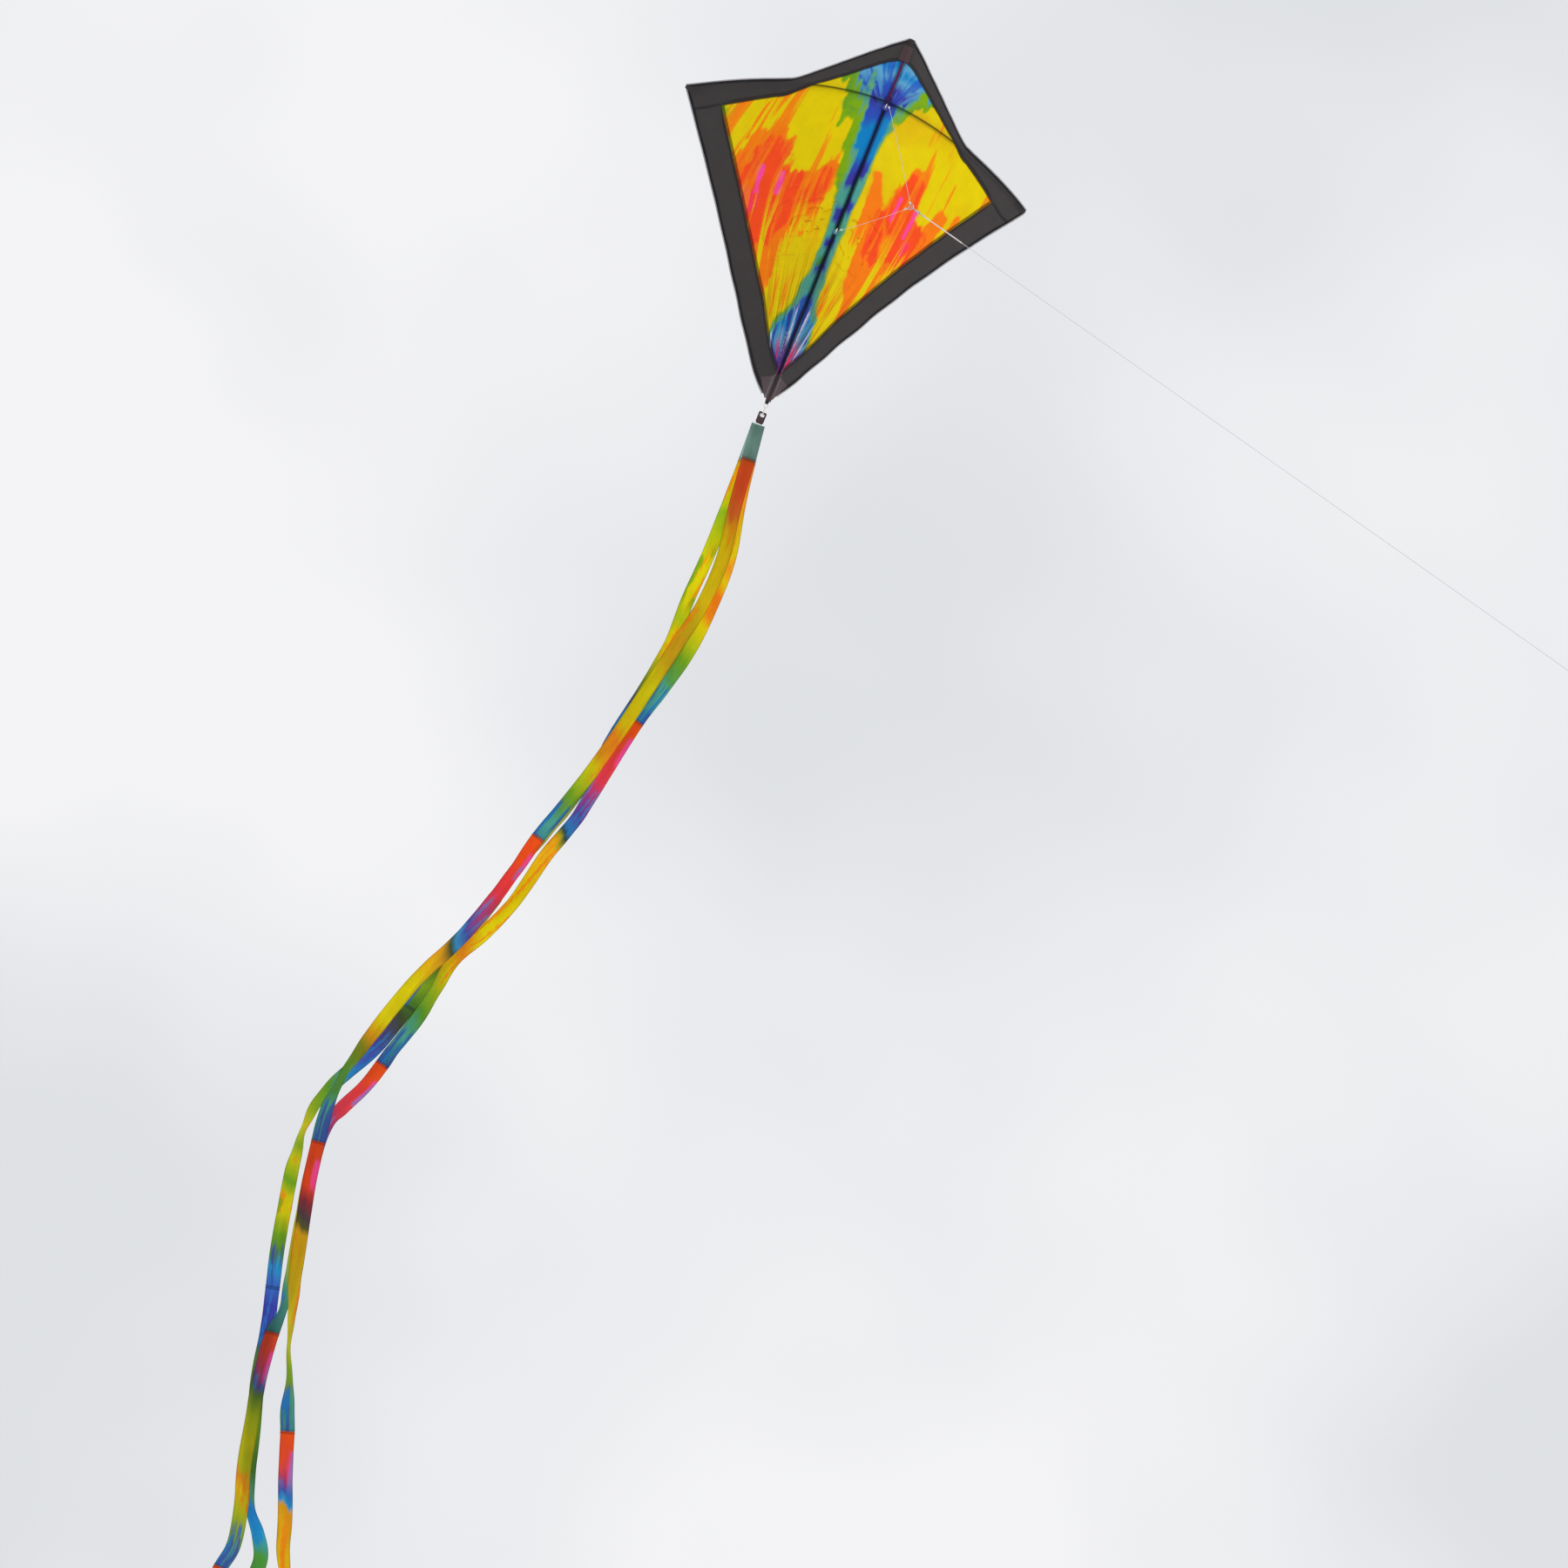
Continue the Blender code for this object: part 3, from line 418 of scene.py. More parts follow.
def creases(side, u, z):
    # How far the cloth is pushed back by its creases, in metres, and a mask of the sharp ones, used to paint
    # shade into the fold lines.
    x = np.abs(u) * sail["halfSpan"]
    reach, angle = fanPlace(x, z)
    fan = latticeNoise(angle * 62, reach * 5, 11 + side)
    fan2 = latticeNoise(angle * 118 + 7, reach * 8, 21 + side)
    near = smoothStep(0.05, 0.11, reach) * (1 - smoothStep(0.20, 0.36, reach))
    near = near * np.exp(-((angle / 0.42) ** 2))
    push = near * (0.0022 * (fan - 0.5) + 0.0012 * (fan2 - 0.5)) * 2
    lines = near * (0.8 * np.exp(-(((fan - 0.5) / 0.09) ** 2)) + 0.3 * np.exp(-(((fan2 - 0.5) / 0.12) ** 2)))
    # Short curved creases beside the lower bridle point.
    dx, dz = x - 0.035, z + 0.262
    radius, bend = np.hypot(dx, dz), np.arctan2(dz, dx)
    wobble = roughNoise(bend * 1.3 + 9, radius * 14, 31 + side)
    rings = np.sin(radius * 300 + wobble * 11)
    broken = smoothStep(0.50, 0.60, roughNoise(bend * 3.1, radius * 60, 37 + side))
    local = np.exp(-((radius / 0.060) ** 2)) * smoothStep(0.006, 0.02, x)
    push = push + local * 0.0006 * rings
    lines = lines + local * broken * smoothStep(0.80, 0.96, rings) * 0.8
    # Long soft pulls from the crossing, and a slow ripple along the trailing edge.
    angle2 = np.arctan2(z, x + 1e-9)
    pull = latticeNoise(angle2 * 9, np.hypot(x, z) * 4, 41 + side)
    push = push + 0.0016 * (pull - 0.5) * smoothStep(0.03, 0.12, np.hypot(x, z))
    edge = np.exp(-np.maximum(z - trailingZ(side, u), 0) / 0.03)
    push = push + 0.0022 * edge * np.sin(reach * 62 + side) * smoothStep(0.05, 0.2, reach)
    return push, np.clip(lines, 0, 1)


def sailPoint(side, u, z, lift, wrinkled=True):
    # A point of the cloth, lifted off the standoff towards the face.
    u, z = np.asarray(u, float), np.asarray(z, float)
    step = 0.01
    y = surfaceY(side, u, z)
    slope = np.minimum((surfaceY(side, u + step, z) - y) / (step * sail["halfSpan"]), 1.9)
    size = np.hypot(1.0, slope)
    off = sail["standoff"] + 0.0003 + lift
    if wrinkled:
        calm = smoothStep(0.002, 0.02, u * sail["halfSpan"])
        off = off - np.clip(creases(side, u, z)[0], -0.003, 0.003) * calm
    flat = u * sail["halfSpan"]
    x = flat + off * slope / size * smoothStep(0.0, 0.035, flat)
    y = y - off / size
    # Close to the spine the cloth wraps the sleeve.
    wrap = sail["wrap"] + lift
    y = np.where(x < wrap, np.minimum(y, -np.sqrt(np.maximum(wrap ** 2 - x ** 2, 0))), y)
    return np.stack([side * x, y, z + 0 * x], axis=-1)


def gridMesh(name, points, uv, attributes):
    # One layer of quads over a grid of points, facing the flyer.
    rows, columns = points.shape[:2]
    index = np.arange(rows * columns).reshape(rows, columns)
    faces = np.stack([index[:-1, :-1], index[1:, :-1], index[1:, 1:], index[:-1, 1:]], axis=-1).reshape(-1, 4)
    flat = points.reshape(-1, 3)
    a, b, c = flat[faces[:, 0]], flat[faces[:, 1]], flat[faces[:, 2]]
    if np.cross(b - a, c - a)[:, 1].sum() > 0:
        faces = faces[:, ::-1]
    mesh = bpy.data.meshes.new(name)
    mesh.from_pydata(flat.tolist(), [], faces.tolist())
    layer = mesh.uv_layers.new(name="cloth")
    order = np.empty(len(mesh.loops), np.int32)
    mesh.loops.foreach_get("vertex_index", order)
    layer.data.foreach_set("uv", uv.reshape(-1, 2)[order].astype(np.float32).ravel())
    for key, values in attributes.items():
        made = mesh.color_attributes.new(key, "FLOAT_COLOR", "POINT")
        full = np.ones((len(flat), 4), np.float32)
        full[:, :3] = values.reshape(-1, 3)
        made.data.foreach_set("color", full.ravel())
    mesh.polygons.foreach_set("use_smooth", np.ones(len(mesh.polygons), bool))
    mesh.update()
    return mesh


# The dyes in the cloth, and two colours for the painted shade of the spine sleeves seen through it.
dye = {
    "yellow": "E6CE00", "gold": "E2B800", "orange": "FA7E0E", "flame": "FC4E1E", "pink": "FF4BA0",
    "rose": "FF3A5A", "green": "7EAE10", "leaf": "448C38", "teal": "4EA498", "ice": "60AAD2",
    "sky": "0C84C8", "royal": "2C56BE", "indigo": "3A3CA6", "purple": "6A44AC", "sleeveShadeNavy": "16183C",
    "sleeveShadeMagenta": "8C1A50", "white": "EEF2FA",
}
paint = {name: np.array(linear(code)) for name, code in dye.items()}

# Strokes of dye on one half, as colour, start x and z, end x and z, start and end radius, raggedness.
wingStrokes = {
    -1: [
        ("orange", 0.152, -0.128, 0.150, -0.260, 0.036, 0.056, 0.6),
        ("orange", 0.222, -0.135, 0.170, -0.270, 0.012, 0.030, 0.5),
        ("orange", 0.040, -0.150, 0.062, -0.190, 0.012, 0.021, 0.5),
        ("orange", 0.062, -0.190, 0.080, -0.265, 0.025, 0.034, 0.5),
        ("orange", 0.080, -0.265, 0.073, -0.405, 0.030, 0.014, 0.6),
        ("orange", 0.118, -0.290, 0.084, -0.400, 0.030, 0.012, 0.6),
        ("flame", 0.140, -0.140, 0.158, -0.232, 0.029, 0.044, 0.55),
        ("flame", 0.100, -0.190, 0.106, -0.280, 0.022, 0.026, 0.6),
        ("flame", 0.048, -0.162, 0.064, -0.210, 0.010, 0.017, 0.6),
        ("flame", 0.205, -0.170, 0.168, -0.250, 0.012, 0.020, 0.6),
        ("rose", 0.152, -0.210, 0.146, -0.240, 0.012, 0.009, 0.8),
        ("pink", 0.147, -0.158, 0.141, -0.204, 0.0046, 0.0034, 0.7),
        ("pink", 0.114, -0.168, 0.108, -0.206, 0.0036, 0.0026, 0.7),
    ],
    1: [
        ("orange", 0.029, -0.132, 0.050, -0.205, 0.009, 0.019, 0.5),
        ("orange", 0.050, -0.205, 0.066, -0.275, 0.020, 0.027, 0.5),
        ("orange", 0.066, -0.275, 0.064, -0.345, 0.026, 0.018, 0.6),
        ("orange", 0.064, -0.345, 0.070, -0.395, 0.017, 0.010, 0.6),
        ("orange", 0.104, -0.094, 0.096, -0.180, 0.022, 0.036, 0.6),
        ("orange", 0.128, -0.180, 0.116, -0.245, 0.031, 0.024, 0.6),
        ("orange", 0.172, -0.110, 0.145, -0.195, 0.009, 0.018, 0.7),
        ("orange", 0.198, -0.090, 0.186, -0.140, 0.007, 0.010, 0.7),
        ("flame", 0.102, -0.102, 0.098, -0.172, 0.018, 0.029, 0.6),
        ("flame", 0.126, -0.172, 0.120, -0.232, 0.025, 0.020, 0.6),
        ("flame", 0.062, -0.190, 0.068, -0.262, 0.010, 0.013, 0.7),
        ("rose", 0.128, -0.196, 0.124, -0.218, 0.008, 0.006, 0.8),
        ("pink", 0.086, -0.140, 0.083, -0.184, 0.0034, 0.0024, 0.7),
        ("pink", 0.121, -0.140, 0.117, -0.192, 0.0048, 0.0034, 0.7),
    ],
}
# Half-widths of the blue core and of the green beyond it at each height, and the core's colours by height.
coreHeights = (
    -0.60, -0.56, -0.52, -0.48, -0.45, -0.42, -0.40, -0.36, -0.30, -0.25, -0.20, -0.15, -0.10, -0.05,
    0.0, 0.05, 0.09, 0.13,
)
coreWidths = {
    -1: (
        0.012, 0.020, 0.027, 0.025, 0.018, 0.012, 0.010, 0.009, 0.009, 0.010, 0.012, 0.013, 0.018, 0.027,
        0.037, 0.050, 0.048, 0.050,
    ),
    1: (
        0.012, 0.020, 0.029, 0.026, 0.020, 0.013, 0.010, 0.009, 0.009, 0.010, 0.011, 0.013, 0.019, 0.023,
        0.027, 0.054, 0.070, 0.070,
    ),
}
greenWidths = {
    -1: (
        0.012, 0.020, 0.033, 0.034, 0.028, 0.021, 0.018, 0.015, 0.014, 0.015, 0.020, 0.030, 0.045, 0.053,
        0.062, 0.080, 0.082, 0.062,
    ),
    1: (
        0.012, 0.020, 0.032, 0.033, 0.027, 0.019, 0.015, 0.013, 0.012, 0.013, 0.014, 0.018, 0.022, 0.028,
        0.046, 0.078, 0.070, 0.070,
    ),
}
coreColours = {
    -1: [
        (0.13, "ice"), (0.10, "ice"), (0.080, "sky"), (0.055, "ice"), (0.028, "royal"),
        (0.000, "indigo"), (-0.035, "royal"), (-0.055, "sky"), (-0.118, "sky"), (-0.132, "royal"),
        (-0.146, "indigo"), (-0.168, "indigo"), (-0.178, "teal"), (-0.204, "teal"), (-0.214, "indigo"),
        (-0.234, "indigo"), (-0.246, "teal"), (-0.274, "teal"), (-0.284, "indigo"), (-0.298, "indigo"),
        (-0.308, "teal"), (-0.334, "leaf"), (-0.346, "indigo"), (-0.362, "teal"), (-0.400, "teal"),
        (-0.416, "royal"), (-0.440, "sky"), (-0.500, "ice"), (-0.545, "purple"), (-0.58, "rose"),
    ],
    1: [
        (0.13, "ice"), (0.085, "ice"), (0.066, "sky"), (0.048, "ice"), (0.026, "indigo"),
        (0.000, "indigo"), (-0.018, "royal"), (-0.036, "sky"), (-0.112, "sky"), (-0.126, "royal"),
        (-0.138, "indigo"), (-0.154, "indigo"), (-0.166, "teal"), (-0.192, "teal"), (-0.204, "indigo"),
        (-0.224, "indigo"), (-0.238, "teal"), (-0.270, "leaf"), (-0.282, "teal"), (-0.300, "indigo"),
        (-0.316, "teal"), (-0.345, "indigo"), (-0.362, "teal"), (-0.392, "teal"), (-0.410, "royal"),
        (-0.430, "sky"), (-0.490, "ice"), (-0.530, "rose"), (-0.58, "purple"),
    ],
}


def brush(colours, x, z, strokes, feather, seed):
    for name, ax, az, bx, bz, startRadius, endRadius, rag in strokes:
        square = max((bx - ax) ** 2 + (bz - az) ** 2, 1e-9)
        along = np.clip(((x - ax) * (bx - ax) + (z - az) * (bz - az)) / square, 0, 1)
        distance = np.hypot(x - ax - along * (bx - ax), z - az - along * (bz - az))
        radius = startRadius + (endRadius - startRadius) * along
        distance = distance - radius * rag * 1.9 * (feather - 0.5)
        soft = 0.0016 + 0.10 * radius
        share = 1 - smoothStep(-soft, soft, distance - radius)
        colours += (paint[name] - colours) * share[..., None]
    return colours


def mixIn(colours, name, share):
    return colours + (paint[name] - colours) * np.clip(share, 0, 1)[..., None]


def dyeSail(side, u, z):
    x = np.abs(u) * sail["halfSpan"]
    reach, angle = fanPlace(x, z)
    seed = 100 + 10 * side
    # Streak lines fan from the tail and run nearly along the spine higher up.
    spread = 0.33 * np.tanh(np.maximum(z - sail["tail"], 0.004) / 0.33)
    if side < 0:
        spread = spread * np.exp(-1.3 * np.maximum(z + 0.20, 0))
    across = x / spread
    streak = roughNoise(across * 13, reach * 7, seed)
    fine = roughNoise(across * 42, reach * 9, seed + 3)
    blot = roughNoise(x * 42, z * 42, seed + 27)
    feather = np.clip(0.5 + (streak - 0.5) * 1.3 + (fine - 0.5) * 0.6 + (blot - 0.5) * 0.8, 0, 1)
    colours = np.empty(x.shape + (3,))
    colours[:] = paint["yellow"]
    colours = mixIn(colours, "gold", 0.8 * smoothStep(0.50, 0.75, roughNoise(x * 16, z * 12, seed + 30)))
    # Loose orange streaks through the yellow.
    field = smoothStep(0.30, 0.42, reach) * smoothStep(0.030, 0.055, x + 0.25 * np.maximum(-z - 0.1, 0))
    loose = roughNoise(across * 9 + 3, reach * 5.0, seed + 6)
    colours = mixIn(colours, "orange", 0.9 * field * smoothStep(0.56, 0.63, loose * 0.65 + fine * 0.35))
    lower = smoothStep(0.10, 0.16, reach) * (1 - smoothStep(0.22, 0.30, reach))
    colours = mixIn(colours, "orange", 0.8 * lower * smoothStep(0.58, 0.66, fine))
    colours = brush(colours, x, z, wingStrokes[side], feather, seed)
    # Thin yellow and orange hairs through the red, more of them low down.
    red = smoothStep(0.12, 0.35, colours[..., 0] - colours[..., 1] * 1.4)
    warm = smoothStep(0.05, 0.2, colours[..., 0] - colours[..., 1] * 1.1)
    hair = roughNoise(across * 60, reach * 7, seed + 9)
    colours = mixIn(colours, "orange", 0.8 * red * smoothStep(0.56, 0.64, hair))
    downward = smoothStep(-0.18, -0.30, z)
    thin = smoothStep(0.60, 0.66, roughNoise(across * 44, reach * 6, seed + 12))
    colours = mixIn(colours, "yellow", warm * (0.12 + 0.88 * downward) * thin)
    corner = np.exp(-(((x - 0.250) / 0.020) ** 2) - (((z + 0.050) / 0.018) ** 2))
    colours = mixIn(colours, "green", 0.9 * corner * smoothStep(0.35, 0.6, feather))
    # The blue core along the spine, green beyond it and teal where they meet.
    rag = (feather - 0.5) * 1.5
    core = np.interp(z, coreHeights, coreWidths[side])
    beyond = np.interp(z, coreHeights, greenWidths[side])
    fromCore = core * (1 + 0.55 * rag) - x
    fromGreen = beyond * (1 + 0.40 * rag) - x
    colours = mixIn(colours, "green", smoothStep(-0.0020, 0.0035, fromGreen))
    colours = mixIn(colours, "leaf", 0.35 * smoothStep(0.0, 0.004, fromGreen) * smoothStep(0.5, 0.7, blot))
    meeting = smoothStep(-0.0090, -0.0010, fromCore) * smoothStep(0.0, 0.004, fromGreen)
    colours = mixIn(colours, "teal", 0.85 * meeting)
    height = z + 0.030 * (streak - 0.5) + 0.028 * (blot - 0.5) + 0.25 * x * (z < 0)
    stops = coreColours[side][::-1]
    at = [stop[0] for stop in stops]
    bands = np.array([paint[stop[1]] for stop in stops])
    inner = np.stack([np.interp(height, at, bands[:, c]) for c in range(3)], axis=-1)
    share = smoothStep(-0.0010, 0.0030, fromCore)
    colours = colours + (inner - colours) * share[..., None]
    # Royal and pale streaks that fan up from the crossing into the nose.
    up = np.arctan2(x, z + 0.03)
    spokes = roughNoise(up * 11, np.hypot(x, z + 0.03) * 10, seed + 15)
    nose = smoothStep(-0.02, 0.03, z) * share
    colours = mixIn(colours, "royal", 0.75 * nose * smoothStep(0.53, 0.62, spokes))
    colours = mixIn(colours, "ice", 0.6 * nose * smoothStep(0.56, 0.66, 1 - spokes))
    mottle = smoothStep(0.58, 0.66, roughNoise(x * 40, z * 30, seed + 33))
    colours = mixIn(colours, "teal", 0.7 * nose * mottle)
    # The gathered end: hair-thin blue, purple, rose and white streaks.
    tail = (1 - smoothStep(0.185, 0.215, reach)) * share
    hairs = roughNoise(angle * 44, reach * 9, seed + 18)
    colours = mixIn(colours, "royal", 0.9 * tail * smoothStep(0.50, 0.58, hairs))
    colours = mixIn(colours, "indigo", tail * smoothStep(0.60, 0.68, hairs))
    colours = mixIn(colours, "ice", tail * 0.8 * smoothStep(0.58, 0.66, 1 - hairs))
    low = 1 - smoothStep(0.09, 0.15, reach)
    colours = mixIn(colours, "purple", low * share * smoothStep(0.50, 0.58, 1 - hairs))
    rosy = smoothStep(0.55, 0.62, roughNoise(angle * 40, reach * 6, seed + 21))
    colours = mixIn(colours, "rose", low * share * rosy)
    pale = smoothStep(0.64, 0.70, roughNoise(angle * 60, reach * 7, seed + 24))
    return mixIn(colours, "white", tail * 0.8 * pale)


def columnStations(side):
    # Where the panel and the trailing border begin and run out, as shares of the half span.
    slit = sail["slit"] / sail["halfSpan"]

    def lastU(low, high, least=0.002):
        u = 1.0
        while high(side, u) - low(side, u) < least:
            u -= 0.001
        return u

    panelEnd = lastU(innerTrailing, innerLeading)
    trailingEnd = lastU(trailingZ, lambda s, v: min(innerTrailing(s, v), innerLeading(s, v) - 0.0005))
    return slit, panelEnd, trailingEnd


def arcAlong(side, u):
    # The distance along the bowed cloth from the spine, for the weave's own coordinates.
    steps = np.linspace(0, 1, 200)
    y = sparY(side, steps)
    length = np.concatenate([[0], np.cumsum(np.hypot(np.diff(steps) * sail["halfSpan"], np.diff(y)))])
    return np.interp(u, steps, length)


def clothGrid(side, stations, low, high, rows, lift, curve=None):
    u = np.repeat(np.asarray(stations)[:, None], rows + 1, axis=1)
    share = np.linspace(0, 1, rows + 1)[None, :]
    if curve is not None:
        share = curve(share)
    bottom, top = low(side, u), high(side, u)
    z = bottom + (top - bottom) * share
    points = sailPoint(side, u, z, lift)
    uv = np.stack([side * arcAlong(side, u), z], axis=-1)
    return u, z, points, uv


def makeWing(side, word):
    body = word + "_wing"
    slit, panelEnd, trailingEnd = columnStations(side)
    lap = sail["lap"]
    # The dyed panel runs a little way under the border all round.
    edges = lambda u: lap * np.clip((panelEnd - u) / 0.05, 0, 1)
    fine, fineEnd = 50, 0.12  # closer columns beside the spine
    stations = np.concatenate([
        np.linspace(slit, fineEnd, fine + 1)[:-1], np.linspace(fineEnd, panelEnd, sail["columns"] - fine),
    ])
    low = lambda s, u: innerTrailing(s, u) - 1.4 * edges(u)
    high = lambda s, u: innerLeading(s, u) + edges(u)
    u, z, points, uv = clothGrid(side, stations, low, high, sail["rows"], 0.0)
    colours = dyeSail(side, u, z)
    # Painted shade: the sharp creases are painted darker, more in green and blue than in red.
    creaseShade = creases(side, u, z)[1]
    colours = colours * (1 - creaseShade[..., None] * np.array((0.42, 0.72, 0.75)))
    # The seam allowance shows as a dark rim, where the black cloth lies behind the dyed one.
    fromLow, fromHigh = z - innerTrailing(side, u), innerLeading(side, u) - z
    rim = 1 - smoothStep(0.0030, 0.0050, np.minimum(fromLow * 0.45, fromHigh * 0.9))
    colours = colours * (1 - 0.72 * rim)[..., None]
    # The rods press on the cloth, and the spar's shadow is painted onto it as a thin dark line: painted
    # shadow.
    fromSpar = np.abs(z - sparZ(side, u))
    rodShadow = 1 - smoothStep(0.0012, 0.0030, fromSpar)
    colours = colours * (1 - 0.80 * rodShadow)[..., None]
    panelMesh = gridMesh(word + "SailPanel", points, uv, {"dye": colours})
    panel = addObject(word + "SailPanel", panelMesh, dyedRipstop, body)
    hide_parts(word + "_sail_panel")

    outer = np.concatenate([stations, np.linspace(panelEnd, trailingEnd, 10)[1:]])
    whole = np.concatenate([outer, np.linspace(trailingEnd, sail["tip"], 8)[1:]])
    leadingLow = lambda s, v: np.maximum(innerLeading(s, v) - 0.0035, trailingZ(s, v))
    trailingHigh = lambda s, v: np.minimum(innerTrailing(s, v) + 0.0012, innerLeading(s, v) + 0.0010)
    for part, columns, lowEdge, highEdge, width in (
        ("leading", whole, leadingLow, leadingZ, 0.36), ("trailing", outer, trailingZ, trailingHigh, 0.66),
    ):
        u, z, points, uv = clothGrid(side, columns, lowEdge, highEdge, 16, sail["borderLift"][part])
        name = word + part.capitalize() + "Border"
        border = addObject(name, gridMesh(name, points, uv, {}), charcoalRipstop, body)
        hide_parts(word + "_" + part + "_border")
    for part, columns, edge, way in (("leading", whole, leadingZ, -1), ("trailing", whole, trailingZ, 1)):
        width = sail["hemWidth"] * (1 if part == "leading" else 1.9)
        band = lambda s, v: edge(s, v) + way * width * np.clip((sail["tip"] - v) / 0.03, 0.05, 1)
        lowEdge, highEdge = (band, edge) if way < 0 else (edge, band)
        u, z, points, uv = clothGrid(side, columns, lowEdge, highEdge, 3, sail["hemLift"])
        name = word + part.capitalize() + "Hem"
        hem = addObject(name, gridMesh(name, points, uv, {}), foldedHem, body)
        run = columns[columns > 0.036] if part == "trailing" else columns[5:]
        line = sailPoint(side, run, edge(side, run), sail["bindingLift"])
        line[:, 2] -= way * sail["bindingShift"]
        binding = tubeMesh(word + part.capitalize() + "Binding", line, sail["bindingRadius"], 8)
        piece = addObject(binding.name, binding, paleBinding, body)
        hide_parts(word + "_" + part + "_hem")
    return stations, panelEnd, trailingEnd


def tubeMesh(name, path, radius, around, lobes=0, pitch=0.004):
    # A closed tube along points. With lobes its section is that many laid strands, twisting once each pitch.
    path = np.asarray(path, float)
    way = np.gradient(path, axis=0)
    way /= np.linalg.norm(way, axis=1)[:, None]
    side = np.empty_like(way)
    guess = np.cross(way[0], (0.0, 0.0, 1.0))
    if np.linalg.norm(guess) < 0.1:
        guess = np.cross(way[0], (1.0, 0.0, 0.0))
    for k, direction in enumerate(way):
        guess = guess - direction * guess.dot(direction)
        guess = guess / np.linalg.norm(guess)
        side[k] = guess
    other = np.cross(way, side)
    length = np.concatenate([[0], np.cumsum(np.linalg.norm(np.diff(path, axis=0), axis=1))])
    angle = np.linspace(0, 2 * math.pi, around, endpoint=False)
    twist = length / pitch * 2 * math.pi
    size = np.full((len(path), around), float(radius))
    if lobes:
        size = radius * (0.90 + 0.12 * np.cos(lobes * (angle[None, :] - twist[:, None] / lobes)))
    points = path[:, None] + side[:, None] * (np.cos(angle)[None, :] * size)[..., None]
    points = points + other[:, None] * (np.sin(angle)[None, :] * size)[..., None]
    count = len(path)
    index = np.arange(count * around).reshape(count, around)
    turned = np.roll(index, -1, axis=1)
    faces = np.stack([index[:-1], turned[:-1], turned[1:], index[1:]], axis=-1).reshape(-1, 4).tolist()
    faces.append(index[0][::-1].tolist())
    faces.append(index[-1].tolist())
    mesh = bpy.data.meshes.new(name)
    mesh.from_pydata(points.reshape(-1, 3).tolist(), [], faces)
    layer = mesh.uv_layers.new(name="cloth")
    order = np.empty(len(mesh.loops), np.int32)
    mesh.loops.foreach_get("vertex_index", order)
    uv = np.stack([np.broadcast_to(angle / 6.283 * radius * 6, (count, around)),
                   np.broadcast_to(length[:, None], (count, around))], axis=-1)
    layer.data.foreach_set("uv", uv.reshape(-1, 2)[order].astype(np.float32).ravel())
    smooth = [len(face) == 4 for face in faces]
    mesh.polygons.foreach_set("use_smooth", smooth)
    work = bmesh.new()
    work.from_mesh(mesh)
    bmesh.ops.recalc_face_normals(work, faces=work.faces)
    work.to_mesh(mesh)
    work.free()
    return mesh


wingStations = {side: makeWing(side, word) for side, word in ((-1, "left"), (1, "right"))}
say("sail panels and borders")


# The strip over the spine and the patches at its ends. The tail patch's heights start at the tail.
spineCover = {"halfWidth": 0.0046, "lift": 0.0010, "steps": 300, "across": 16}
patches = {
    "borderLift": 0.0021, "nose": (0.0860, 0.1180), "noseLift": 0.0031, "tail": (0.0015, 0.056),
    "tailLift": 0.0024,
}


def foldedStrip(name, lowZ, highZ, halfWidth, lift, steps, across, material, colourOf=None, only=0):
    # A strip over the slit between the wings. It follows both halves of the cloth, or one half with a gap.
    z = np.linspace(lowZ, highZ, steps)[:, None]
    offset = np.linspace(-1, 1, across + 1)[None, :]
    if only:
        offset = np.linspace(0.16, 1, across + 1)[None, :] * only
    half = halfWidth(z) if callable(halfWidth) else halfWidth + 0 * z
    x = offset * half
    u = np.abs(x) / sail["halfSpan"]
    left, right = (sailPoint(side, u, z + 0 * x, lift, wrinkled=False) for side in (-1, 1))
    points = np.where((x < 0)[..., None], left, right)
    points[..., 0] = np.where(np.abs(x) < 1e-9, 0, points[..., 0])
    uv = np.stack([x, z + 0 * x], axis=-1)
    body = {0: "frame", -1: "left_wing", 1: "right_wing"}[only]
    attributes = {"dye": colourOf(x, z + 0 * x)} if colourOf else {}
    return addObject(name, gridMesh(name, points, uv, attributes), material, body)


def spineColours(x, z):
    colours = np.empty(x.shape + (3,))
    for side in (-1, 1):
        here = dyeSail(side, np.abs(x) / sail["halfSpan"], z)
        colours[...] = np.where((x * side >= 0)[..., None], here, colours)
    # Painted shade: the spine sleeves behind the cloth are painted onto the strip as a dark stripe, magenta
    # above the crossing and navy below. This is their colour seen through the cloth, with the shade of their
    # silhouette.
    core = 1 - smoothStep(0.0016, 0.0028, np.abs(x))
    above = smoothStep(-0.004, 0.004, z)
    colours = mixIn(colours, "sleeveShadeMagenta", core * above * 0.95)
    return mixIn(colours, "sleeveShadeNavy", core * (1 - above) * 0.95)


panelTop = float(innerLeading(1, 0.0)) - 0.001
panelBottom = float(innerTrailing(1, 0.0)) + 0.001
cover = foldedStrip(
    "spineCover", panelBottom, panelTop, spineCover["halfWidth"], spineCover["lift"],
    spineCover["steps"], spineCover["across"], dyedRipstop, spineColours,
)
noseWidth = lambda z: 0.0080 + 0.03 * (0.122 - z)
tailWidth = lambda z: 0.0030 + (z - sail["tail"]) * 0.30
borderTop = foldedStrip(
    "noseBorderCover", panelTop + 0.0005, sail["noseUp"] - 0.002, 0.0056, patches["borderLift"], 24, 8,
    charcoalRipstop,
)
borderEnd = foldedStrip(
    "tailBorderCover", sail["tail"] + 0.001, panelBottom - 0.0005, 0.0044, patches["borderLift"], 24, 8,
    charcoalRipstop,
)
nosePatch = foldedStrip("nosePatch", *patches["nose"], noseWidth, patches["noseLift"], 40, 14, maroonWebbing)
tailFrom, tailTo = (sail["tail"] + height for height in patches["tail"])
tailPatches = [
    foldedStrip(name, tailFrom, tailTo, tailWidth, patches["tailLift"], 40, 12, maroonWebbing, only=half)
    for name, half in (("leftTailPatch", -1), ("rightTailPatch", 1))
]
say("spine cover and patches")

